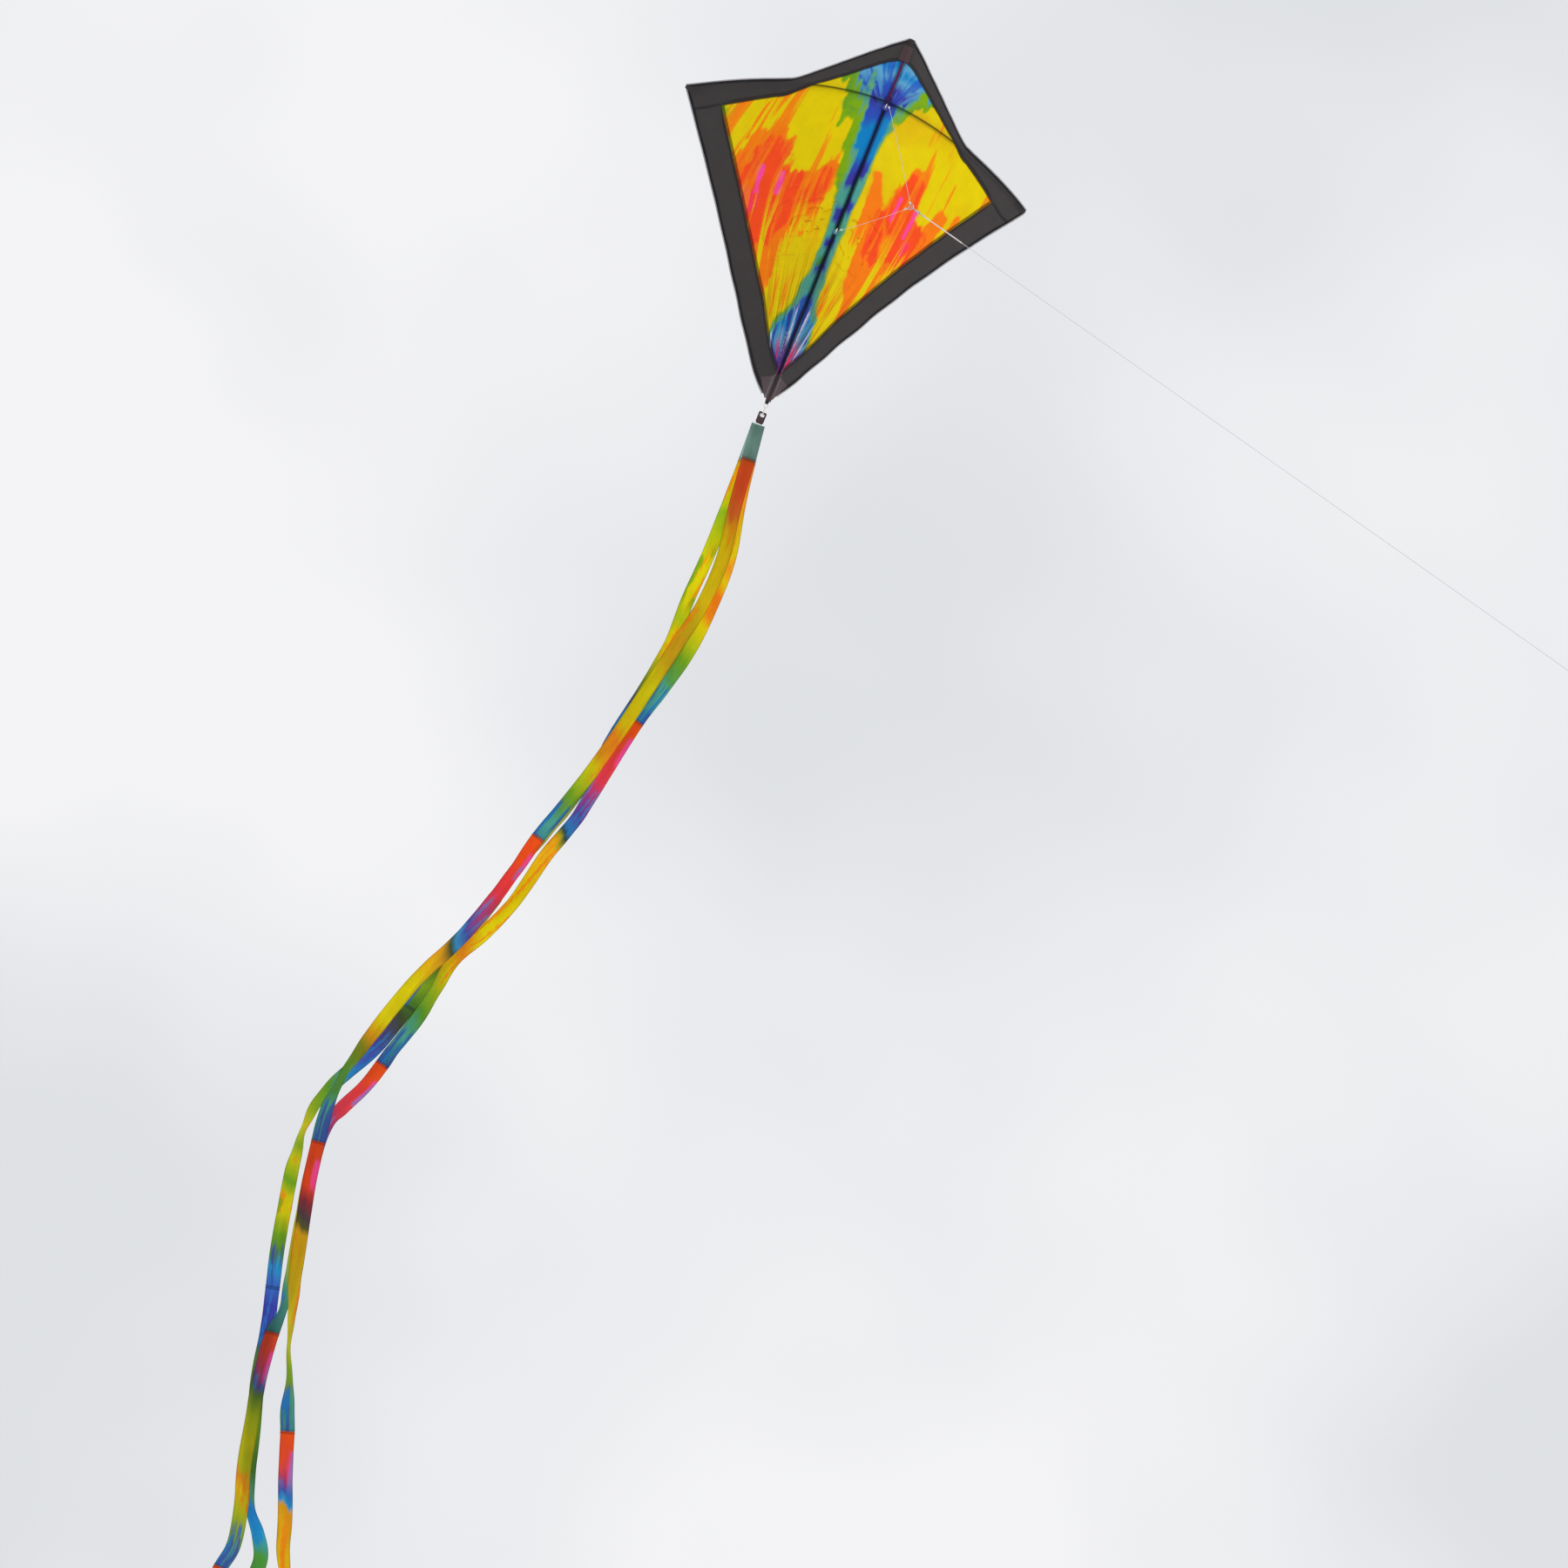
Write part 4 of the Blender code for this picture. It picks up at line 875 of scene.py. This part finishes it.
# The bridle and the flying line: places and sizes of the cords.
rig = {
    "tow": (0.094, -0.120, -0.232), "lineWay": (0.532, -0.680, -0.504), "axisY": -0.0126, "upperZ": -0.012,
    "lowerZ": -0.275, "legDiameter": 0.0009, "lineDiameter": 0.0010, "lineStart": 0.0375, "lineLength": 2.03,
    "ringReach": 0.0069, "leaderFrom": 0.006, "leaderLength": 0.126, "leaderRadius": 0.00115,
    "knotRadius": 0.0012, "knotCord": 0.0006, "lineKnotRadius": 0.0011, "lineKnotCord": 0.0005,
    "strandFullness": 1.02,
}
tow = np.array(rig["tow"])
lineWay = np.array(rig["lineWay"]) / np.linalg.norm(rig["lineWay"])
outward = np.array((tow[0], tow[1] - rig["axisY"], 0.0))
outward /= np.linalg.norm(outward)


def coilKnot(name, centre, way, coilRadius, wire, turns, length, material, body):
    # A few tight turns of cord about a direction.
    way = np.array(way, float) / np.linalg.norm(way)
    across = np.cross(way, (0.0, 0.0, 1.0))
    if np.linalg.norm(across) < 0.1:
        across = np.cross(way, (1.0, 0.0, 0.0))
    across /= np.linalg.norm(across)
    other = np.cross(way, across)
    t = np.linspace(0, 1, int(turns * 14) + 1)
    angle = t * turns * 2 * math.pi
    path = np.array(centre) + way * ((t - 0.5) * length)[:, None]
    path = path + across * (np.cos(angle) * coilRadius)[:, None]
    path = path + other * (np.sin(angle) * coilRadius)[:, None]
    return addObject(name, tubeMesh(name, path, wire, 8), material, body)


def cordLeg(word, z, sag):
    start = np.array((0.0, rig["axisY"], z)) + outward * 0.0060
    toward = (tow - start) / np.linalg.norm(tow - start)
    end = tow - toward * rig["ringReach"]
    count = 560 if word == "upper" else 340
    t = np.linspace(0, 1, count)[:, None]
    path = start + (end - start) * t
    path[:, 2] -= (4 * sag * t * (1 - t))[:, 0]
    length = float(np.linalg.norm(np.diff(path, axis=0), axis=1).sum())
    radius = rig["legDiameter"] / 2 * rig["strandFullness"]
    mesh = tubeMesh(word + "BridleLeg", path, radius, 9, lobes=3, pitch=0.0042)
    leg = addObject(word + "BridleLeg", mesh, bridleCord, "bridle")
    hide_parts(word + "_bridle_leg")
    wire = rig["knotCord"]
    knots = [
        coilKnot(word + ending, centre, toward, rig["knotRadius"], wire, turns, long, whiteCord, "bridle")
        for ending, centre, turns, long in (
            ("EyeKnot", start + toward * 0.0045, 2.5, 0.0034),
            ("RingKnot", end - toward * 0.0035, 3.5, 0.0044),
        )
    ]
    return length


legLengths = [cordLeg("upper", rig["upperZ"], -0.002), cordLeg("lower", rig["lowerZ"], 0.003)]
lineFrom = tow + lineWay * (rig["lineStart"] + 0.0006)
lineTo = tow + lineWay * (rig["lineStart"] + rig["lineLength"])
linePath = lineFrom + (lineTo - lineFrom) * np.linspace(0, 1, 1300)[:, None]
lineRadius = rig["lineDiameter"] / 2 * rig["strandFullness"]
lineMesh = tubeMesh("flyingLine", linePath, lineRadius, 8, lobes=4, pitch=0.006)
flyingLine = addObject("flyingLine", lineMesh, paleLine, "line")
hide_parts("flying_line")
# The doubled length next to the ring.
leaderRun = (lineWay * rig["leaderLength"]) * np.linspace(0, 1, 130)[:, None]
leaderPath = lineFrom + lineWay * rig["leaderFrom"] + leaderRun
leaderMesh = tubeMesh("lineLeader", leaderPath, rig["leaderRadius"], 10, lobes=3, pitch=0.007)
leader = addObject("lineLeader", leaderMesh, whiteCord, "line")
lineKnots = [
    coilKnot(name, centre, lineWay, rig["lineKnotRadius"], rig["lineKnotCord"], turns, long, paleLine, "line")
    for name, centre, turns, long in (
        ("lineEyeKnot", lineFrom + lineWay * 0.0050, 5.0, 0.0060),
        ("lineLoopKnot", lineTo - lineWay * 0.0050, 4.0, 0.0050),
    )
]
say("bridle %.3f and %.3f m, flying line" % tuple(legLengths))

# Each ribbon's centre line from the top down, as x, y, z and its turn about that line in degrees.
streamerRoutes = {
    "front_streamer": [
        (0.000, -0.0016, -0.6705, 0), (0.006, -0.002, -0.739, 0), (0.015, 0.003, -0.827, 14),
        (0.029, 0.012, -0.923, 10), (0.027, 0.022, -1.010, -12), (0.013, 0.034, -1.093, 8),
        (-0.004, 0.042, -1.186, 0), (-0.022, 0.048, -1.281, 10), (-0.041, 0.052, -1.367, 0),
        (-0.063, 0.054, -1.446, 12), (-0.081, 0.054, -1.508, 0), (-0.097, 0.053, -1.584, 20),
        (-0.120, 0.049, -1.674, 0), (-0.144, 0.045, -1.746, -15), (-0.176, 0.038, -1.821, 10),
        (-0.202, 0.029, -1.906, 0), (-0.222, 0.018, -1.987, 30), (-0.236, 0.008, -2.055, 60),
        (-0.239, -0.005, -2.120, 25), (-0.231, -0.016, -2.190, 0), (-0.222, -0.028, -2.255, 12),
        (-0.206, -0.042, -2.335, 0), (-0.190, -0.056, -2.412, 30), (-0.173, -0.070, -2.475, 62),
        (-0.158, -0.082, -2.537, 84), (-0.137, -0.094, -2.596, 70), (-0.125, -0.104, -2.640, 25),
        (-0.111, -0.112, -2.680, 0), (-0.092, -0.122, -2.742, 0), (-0.069, -0.132, -2.808, 14),
        (-0.050, -0.138, -2.868, 35), (-0.029, -0.140, -2.912, 55), (-0.014, -0.140, -2.950, 20),
    ],
    "middle_streamer": [
        (0.000, 0.0000, -0.6705, 0), (0.009, 0.005, -0.738, 0), (0.021, 0.014, -0.815, 10),
        (0.041, 0.030, -0.907, 0), (0.044, 0.044, -0.990, 12), (0.039, 0.058, -1.077, 0),
        (0.022, 0.068, -1.161, 15), (0.003, 0.074, -1.233, 0), (-0.015, 0.078, -1.339, 0),
        (-0.032, 0.080, -1.441, 18), (-0.055, 0.080, -1.519, 0), (-0.075, 0.080, -1.616, 20),
        (-0.103, 0.078, -1.695, 0), (-0.132, 0.076, -1.756, 12), (-0.142, 0.072, -1.821, 35),
        (-0.154, 0.066, -1.889, 10), (-0.171, 0.058, -1.951, 20), (-0.179, 0.052, -1.987, 0),
        (-0.192, 0.045, -2.036, 12), (-0.213, 0.038, -2.087, 0), (-0.225, 0.032, -2.128, 45),
        (-0.224, 0.020, -2.207, 30), (-0.208, 0.004, -2.305, 0), (-0.191, -0.012, -2.401, 25),
        (-0.184, -0.024, -2.467, 58), (-0.187, -0.032, -2.510, 15), (-0.179, -0.046, -2.595, 0),
        (-0.166, -0.058, -2.666, 18), (-0.152, -0.070, -2.742, 0), (-0.133, -0.080, -2.809, 10),
        (-0.122, -0.086, -2.872, 0), (-0.128, -0.088, -2.915, 14), (-0.132, -0.090, -2.968, 0),
    ],
    "back_streamer": [
        (0.000, 0.0016, -0.6705, 0), (0.003, 0.012, -0.740, 0), (0.005, 0.026, -0.821, -10),
        (0.007, 0.046, -0.912, 0), (0.005, 0.066, -0.996, 0), (0.007, 0.084, -1.071, -14),
        (-0.003, 0.098, -1.159, 0), (-0.019, 0.104, -1.249, 0), (-0.029, 0.106, -1.323, 40),
        (-0.042, 0.106, -1.407, 70), (-0.064, 0.106, -1.477, 62), (-0.085, 0.106, -1.553, 74),
        (-0.108, 0.104, -1.658, 62), (-0.135, 0.102, -1.730, 22), (-0.156, 0.099, -1.801, 0),
        (-0.176, 0.094, -1.881, 12), (-0.198, 0.086, -1.955, 0), (-0.225, 0.078, -2.013, 0),
        (-0.243, 0.070, -2.057, 20), (-0.255, 0.062, -2.104, 48), (-0.257, 0.050, -2.158, 66),
        (-0.251, 0.038, -2.220, 20), (-0.239, 0.024, -2.294, 0), (-0.226, 0.010, -2.366, 10),
        (-0.210, -0.004, -2.436, 0), (-0.194, -0.016, -2.507, 0), (-0.181, -0.030, -2.587, 18),
        (-0.158, -0.040, -2.670, 0), (-0.139, -0.050, -2.744, 30), (-0.116, -0.054, -2.798, 62),
        (-0.090, -0.056, -2.832, 40), (-0.072, -0.057, -2.868, 10), (-0.073, -0.060, -2.918, 0),
        (-0.076, -0.062, -2.970, 0),
    ],
}
streamerSeams = {
    "front_streamer": (-0.739, -1.508, -2.177, -2.676),
    "middle_streamer": (-0.739, -1.233, -1.987, -2.510, -2.915),
    "back_streamer": (-0.739, -1.250, -1.860, -2.430),
}
ribbon = {
    "width": 0.023, "step": 0.0022, "across": 12, "curl": 0.0016, "ripple": 0.0012,
    "seamGap": 0.0026, "threadLift": 0.0004,
}

# Each ribbon's dye from the top down, as height and colour; a seam is where two colours share a height.
ribbonDye = {
    "front_streamer": [
        (-0.6705, "86A89C"), (-0.71, "90B2A6"), (-0.738, "7A9C92"), (-0.739, "E0601C"),
        (-0.80, "DE5A2A"), (-0.845, "D8702A"), (-0.86, "DCA010"), (-0.90, "D4BE00"), (-1.00, "D8C400"),
        (-1.08, "CC9E10"), (-1.13, "D2AA0C"), (-1.17, "DCCA00"), (-1.26, "DEC800"), (-1.29, "F08A14"),
        (-1.33, "E8A010"), (-1.35, "D8CC00"), (-1.38, "B4C212"), (-1.41, "76A61E"), (-1.44, "5C9C46"),
        (-1.46, "4FA590"), (-1.507, "3E8E98"), (-1.508, "F2520F"), (-1.56, "F24E18"), (-1.60, "F03C38"),
        (-1.64, "E83A4C"), (-1.68, "A04080"), (-1.71, "4A4AA8"), (-1.735, "3A90C8"), (-1.75, "39502A"),
        (-1.775, "E0A010"), (-1.80, "F0B80C"), (-1.84, "E4D000"), (-1.92, "E6D400"), (-1.96, "E09A10"),
        (-1.985, "8A8A18"), (-2.03, "5E9A24"), (-2.08, "4E9440"), (-2.11, "4FA080"), (-2.176, "3F8A88"),
        (-2.177, "E44816"), (-2.26, "DE4420"), (-2.285, "8A3040"), (-2.31, "50404A"), (-2.33, "5A5A28"),
        (-2.345, "D8A00C"), (-2.42, "D8B010"), (-2.50, "C8B810"), (-2.54, "B0B820"), (-2.575, "7EA020"),
        (-2.60, "6E9A2A"), (-2.62, "4E9A78"), (-2.675, "3E8A88"), (-2.676, "EE5012"), (-2.73, "E84A28"),
        (-2.755, "B83A60"), (-2.775, "4A4AA8"), (-2.79, "38A0CC"), (-2.80, "D89A10"), (-2.84, "E0A810"),
        (-2.96, "E0CC00"),
    ],
    "middle_streamer": [
        (-0.6705, "9ABAB0"), (-0.738, "90B0A8"), (-0.739, "E8741A"), (-0.80, "EEA010"),
        (-0.84, "E0C000"), (-0.90, "DCC800"), (-0.925, "F0901A"), (-0.95, "E4C400"), (-0.975, "F07A14"),
        (-1.01, "F08414"), (-1.03, "E0CC00"), (-1.07, "B4C410"), (-1.10, "6EA41E"), (-1.14, "57A050"),
        (-1.16, "52AE98"), (-1.232, "3E8E9A"), (-1.233, "F2520F"), (-1.28, "F25014"), (-1.31, "F0403C"),
        (-1.36, "E83A50"), (-1.40, "9A3E88"), (-1.43, "5A46A0"), (-1.455, "3878B8"), (-1.47, "2A4A40"),
        (-1.485, "B0A010"), (-1.50, "F0AC10"), (-1.56, "ECC00A"), (-1.62, "E4D000"), (-1.70, "E4D400"),
        (-1.735, "F08A12"), (-1.76, "E8B80A"), (-1.79, "D8CC08"), (-1.83, "9AB81A"), (-1.87, "5C9A2A"),
        (-1.90, "50A070"), (-1.93, "4FA898"), (-1.986, "2E5A88"), (-1.987, "F2520F"), (-2.02, "F24E1A"),
        (-2.05, "F04040"), (-2.10, "D83A50"), (-2.13, "8A3E88"), (-2.17, "3A6AB0"), (-2.20, "5A7A28"),
        (-2.25, "D8C000"), (-2.32, "D8C800"), (-2.38, "A8B818"), (-2.43, "4E9A78"), (-2.509, "37706A"),
        (-2.510, "E04C1C"), (-2.54, "DC4430"), (-2.575, "B83E60"), (-2.60, "5A4A90"), (-2.615, "5A7A30"),
        (-2.65, "98A41A"), (-2.70, "C0B810"), (-2.745, "B8B814"), (-2.765, "F0921A"), (-2.79, "E0C80A"),
        (-2.83, "98B020"), (-2.86, "6A9A40"), (-2.88, "4F9A88"), (-2.914, "3E7A88"), (-2.915, "E8541A"),
        (-2.97, "E8541A"),
    ],
    "back_streamer": [
        (-0.6705, "9ABAB0"), (-0.738, "90B0A8"), (-0.739, "E0A010"), (-0.77, "E0CC06"),
        (-0.82, "C8CC0C"), (-0.84, "8AB61A"), (-0.875, "B8C60E"), (-0.93, "DCD004"), (-0.99, "D8CC04"),
        (-1.03, "A8C014"), (-1.06, "D8CC06"), (-1.11, "C0B80C"), (-1.15, "6A8020"), (-1.19, "4A4A50"),
        (-1.24, "40407A"), (-1.30, "3C3C80"), (-1.34, "3A5A40"), (-1.40, "5A7A24"), (-1.46, "A8A814"),
        (-1.55, "8A9018"), (-1.62, "6A7A20"), (-1.68, "D0C008"), (-1.74, "C4B80C"), (-1.77, "56702A"),
        (-1.81, "7EA41E"), (-1.85, "4A7A2A"), (-1.88, "3E4A2A"), (-1.915, "4A4468"), (-1.945, "44469C"),
        (-1.985, "3C5CB4"), (-2.015, "3E8A9A"), (-2.05, "5E9E2C"), (-2.09, "86A818"), (-2.13, "D0CC0A"),
        (-2.17, "8CB01A"), (-2.20, "C8C80C"), (-2.235, "6EA61E"), (-2.265, "D0CC0A"), (-2.30, "D8CC08"),
        (-2.335, "6EA01C"), (-2.37, "4E8A24"), (-2.39, "2A94C8"), (-2.42, "3A6CC0"), (-2.46, "3A40A8"),
        (-2.52, "3C3CA0"), (-2.56, "4A7A30"), (-2.66, "5C8A24"), (-2.74, "3E6A2C"), (-2.775, "4A9070"),
        (-2.80, "2E5AA8"), (-2.83, "2E9CCC"), (-2.86, "4E9A3A"), (-2.97, "2E6A2C"),
    ],
}


def smoothRoute(route):
    # A smooth curve through the route's points.
    rows = np.array(route, float)
    ends = np.vstack([2 * rows[0] - rows[1], rows, 2 * rows[-1] - rows[-2]])
    ends[0, 3], ends[-1, 3] = rows[0, 3], rows[-1, 3]
    t = np.linspace(0, 1, 40, endpoint=False)[:, None]
    out = []
    for k in range(len(rows) - 1):
        a, b, c, d = ends[k:k + 4]
        bend = (2 * a - 5 * b + 4 * c - d) * t ** 2
        out.append(0.5 * (2 * b + (c - a) * t + bend + (3 * b - a - 3 * c + d) * t ** 3))
    out.append(rows[-1:])
    return np.vstack(out)


def alongRoute(run, step):
    # The route at even steps of its own length.
    length = np.concatenate([[0], np.cumsum(np.linalg.norm(np.diff(run[:, :3], axis=0), axis=1))])
    want = np.linspace(0, length[-1], int(length[-1] / step) + 1)
    return want, np.column_stack([np.interp(want, length, run[:, k]) for k in range(4)])


def dyeRibbon(name, s, w, height, seams):
    # Colour down the ribbon at distance s and height, and place w across it, 0 to 1.
    seed = {"front_streamer": 300, "middle_streamer": 330, "back_streamer": 360}[name]
    warp = 0.030 * (roughNoise(w * 2.6, s * 16, seed) - 0.5) + 0.012 * (w - 0.5)
    nearSeam = np.min([np.abs(s - place) for place in seams], axis=0)
    asked = height + warp * smoothStep(0.0, 0.03, nearSeam)
    stops = ribbonDye[name][::-1]
    at = [stop[0] for stop in stops]
    table = np.array([linear(stop[1]) for stop in stops])
    colours = np.stack([np.interp(asked, at, table[:, c]) for c in range(3)], axis=-1)
    below = np.min([np.where(s >= place, s - place, 9.0) for place in seams], axis=0)
    above = np.min([np.where(s < place, place - s, 9.0) for place in seams], axis=0)
    hair = roughNoise(w * 5 + s * 22, s * 5, seed + 5)
    lengthwise = roughNoise(w * 6, s * 10, seed + 8)
    saffron = smoothStep(0.45, 0.65, colours[..., 0]) * smoothStep(0.28, 0.42, colours[..., 1])
    colours = mixIn(colours, "orange", 0.75 * saffron * smoothStep(0.60, 0.66, hair))
    mottle = smoothStep(0.60, 0.66, roughNoise(w * 2, s * 18, seed + 11))
    colours = mixIn(colours, "green", 0.9 * saffron * mottle * (name == "back_streamer"))
    streaked = smoothStep(0.028, 0.040, below) * (1 - smoothStep(0.075, 0.10, below))
    streaked = streaked * (s > seams[0] + 0.2) * (name != "back_streamer")
    colours = mixIn(colours, "pink", 0.9 * streaked * smoothStep(0.60, 0.80, w + 0.4 * (lengthwise - 0.5)))
    dark = (1 - smoothStep(0.07, 0.09, above)) * (s > seams[0]) * smoothStep(0.52, 0.58, lengthwise)
    colours = mixIn(colours, "indigo", 0.75 * dark)
    bluish = smoothStep(0.02, 0.12, colours[..., 2] - colours[..., 1])
    colours = mixIn(colours, "sky", 0.6 * bluish * smoothStep(0.56, 0.62, hair))
    lap = 1 - smoothStep(0.0026, 0.0040, nearSeam)
    colours = colours * (1 - 0.35 * lap)[..., None]
    shade = roughNoise(w * 3, s * 24, seed + 14)
    colours = colours * (0.84 + 0.32 * shade)[..., None]
    edge = 1 - smoothStep(0.03, 0.09, np.minimum(w, 1 - w))
    return colours * (1 - 0.45 * edge)[..., None]


seamRows = {}
for name, route in streamerRoutes.items():
    run = smoothRoute(route)
    length, rows = alongRoute(run, ribbon["step"])
    place, turns = rows[:, :3], np.radians(rows[:, 3])
    way = np.gradient(place, axis=0)
    way /= np.linalg.norm(way, axis=1)[:, None]
    flatX = np.cross(np.array((0.0, -1.0, 0.0)), way)
    flatX /= np.linalg.norm(flatX, axis=1)[:, None]
    flatY = np.cross(way, flatX)
    across = flatX * np.cos(turns)[:, None] + flatY * np.sin(turns)[:, None]
    up = np.cross(way, across)
    w = np.linspace(0, 1, ribbon["across"] + 1)
    offset = (w - 0.5) * ribbon["width"]
    calm = smoothStep(0.0, 0.12, length)
    curl = ribbon["curl"] * (1 - (2 * w - 1) ** 2)[None, :] * (
        latticeNoise(length * 6, length * 0, 7 + len(name))[:, None] * 2 - 0.6)
    ripple = ribbon["ripple"] * np.sin(length * 95)[:, None] * (2 * w - 1)[None, :] ** 2
    ripple = ripple * latticeNoise(length * 4, length * 0 + 3, 9 + len(name))[:, None]
    high = (curl + ripple) * calm[:, None]
    points = place[:, None] + across[:, None] * offset[None, :, None] + up[:, None] * high[..., None]
    seams = [float(np.interp(-z, -place[:, 2], length)) for z in streamerSeams[name]]
    s = np.broadcast_to(length[:, None], high.shape)
    wide = np.broadcast_to(w[None, :], high.shape)
    uv = np.stack([wide * ribbon["width"], s], axis=-1)
    label = name.replace("_streamer", "Streamer")
    height = np.broadcast_to(place[:, 2][:, None], high.shape)
    mesh = gridMesh(label, points, uv, {"dye": dyeRibbon(name, s, wide, height, seams)})
    piece = addObject(label, mesh, dyedRibbon, name)
    count = len(streamerSeams[name])
    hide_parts(name + "_header", *[name + "_panel_%d" % k for k in range(1, count + 1)])
    rowsHere = []
    for seam in seams:
        for shift in (-ribbon["seamGap"], ribbon["seamGap"]):
            k = int(np.argmin(np.abs(length - seam - shift)))
            rowsHere.append(points[k] + up[k] * ribbon["threadLift"] * (-1 if up[k][1] > 0 else 1))
    seamRows[name] = rowsHere
    say("%s %.2f m" % (label, length[-1]))


# Machine stitches along the seams.
stitching = {
    "spacing": 0.0040, "length": 0.0028, "thickness": 0.0006,  # real thread is 0.3 mm thick, drawn 0.6 mm
    "seamLift": 0.0013, "hemLift": 0.0019, "spineLift": 0.0028, "spineOffset": 0.0044,
}


def stitchTree():
    tree = bpy.data.node_groups.new("machine stitches", "GeometryNodeTree")
    face = tree.interface
    face.new_socket("Geometry", in_out="INPUT", socket_type="NodeSocketGeometry")
    ids = {}
    for name in ("Spacing", "Stitch length", "Thread thickness"):
        ids[name] = face.new_socket(name, in_out="INPUT", socket_type="NodeSocketFloat").identifier
    ids["Thread"] = face.new_socket("Thread", in_out="INPUT", socket_type="NodeSocketMaterial").identifier
    face.new_socket("Geometry", in_out="OUTPUT", socket_type="NodeSocketGeometry")
    given = addNode(tree, "NodeGroupInput").outputs
    path = addNode(tree, "GeometryNodeMeshToCurve", {"Mesh": given["Geometry"]})
    even = addNode(
        tree, "GeometryNodeResampleCurve", {"Curve": path.outputs[0], "Length": given["Spacing"]},
        mode="LENGTH",
    )
    seed = addNode(tree, "GeometryNodeMeshUVSphere", {"Segments": 6, "Rings": 4, "Radius": 0.5})
    size = addNode(
        tree, "ShaderNodeCombineXYZ",
        {"X": given["Stitch length"], "Y": given["Thread thickness"], "Z": given["Thread thickness"]},
    )
    stitch = addNode(
        tree, "GeometryNodeTransform", {"Geometry": seed.outputs["Mesh"], "Scale": size.outputs[0]}
    )
    tangent = addNode(tree, "GeometryNodeInputTangent")
    aim = addNode(tree, "FunctionNodeAlignRotationToVector", {"Vector": tangent.outputs[0]}, axis="X")
    placed = addNode(
        tree, "GeometryNodeInstanceOnPoints",
        {"Points": even.outputs[0], "Instance": stitch.outputs[0], "Rotation": aim.outputs[0]},
    )
    real = addNode(tree, "GeometryNodeRealizeInstances", {"Geometry": placed.outputs[0]})
    done = addNode(
        tree, "GeometryNodeSetMaterial", {"Geometry": real.outputs[0], "Material": given["Thread"]}
    )
    end = addNode(tree, "NodeGroupOutput")
    tree.links.new(done.outputs[0], end.inputs["Geometry"])
    return tree, ids


stitchNodes, stitchIds = stitchTree()


def sew(name, paths, thread, body):
    verts, edges = [], []
    for path in paths:
        first = len(verts)
        verts += [tuple(map(float, p)) for p in path]
        edges += [(k, k + 1) for k in range(first, len(verts) - 1)]
    guide = bpy.data.meshes.new(name + "Guide")
    guide.from_pydata(verts, edges, [])
    guideObject = bpy.data.objects.new(name + "Guide", guide)
    scene.collection.objects.link(guideObject)
    modifier = guideObject.modifiers.new("stitches", "NODES")
    modifier.node_group = stitchNodes
    modifier[stitchIds["Spacing"]] = stitching["spacing"]
    modifier[stitchIds["Stitch length"]] = stitching["length"]
    modifier[stitchIds["Thread thickness"]] = stitching["thickness"]
    modifier[stitchIds["Thread"]] = thread
    graph = bpy.context.evaluated_depsgraph_get()
    mesh = bpy.data.meshes.new_from_object(guideObject.evaluated_get(graph))
    mesh.name = name
    bpy.data.objects.remove(guideObject)
    piece = addObject(name, mesh, None, body)
    if not mesh.materials:
        mesh.materials.append(thread)


for side, word in ((-1, "left"), (1, "right")):
    stations, panelEnd, trailingEnd = wingStations[side]
    inner = stations[4::3]
    along = np.linspace(stations[4], trailingEnd, 90)
    mitre = np.linspace(panelEnd, trailingEnd, 14)
    paths = [
        sailPoint(side, inner, innerLeading(side, inner) + 0.0030, stitching["seamLift"]),
        sailPoint(side, inner, innerTrailing(side, inner) - 0.0045, stitching["seamLift"]),
        sailPoint(side, along, leadingZ(side, along) - sail["hemWidth"] * 0.8, stitching["hemLift"]),
        sailPoint(side, along, trailingZ(side, along) + sail["hemWidth"] * 1.6, stitching["hemLift"]),
        sailPoint(side, mitre, innerLeading(side, mitre) + 0.0020, stitching["seamLift"]),
    ]
    sew(word + "WingStitches", paths, blackThread, word + "_wing")
spineZ = np.linspace(panelBottom + 0.006, panelTop - 0.006, 160)
spineU = stitching["spineOffset"] / sail["halfSpan"] + 0 * spineZ
spinePaths = [sailPoint(side, spineU, spineZ, stitching["spineLift"], False) for side in (-1, 1)]
sew("spineStitches", spinePaths, blackThread, "frame")
for name, rows in seamRows.items():
    sew(name.replace("_streamer", "StreamerStitches"), rows, blackThread, name)
say("stitches")
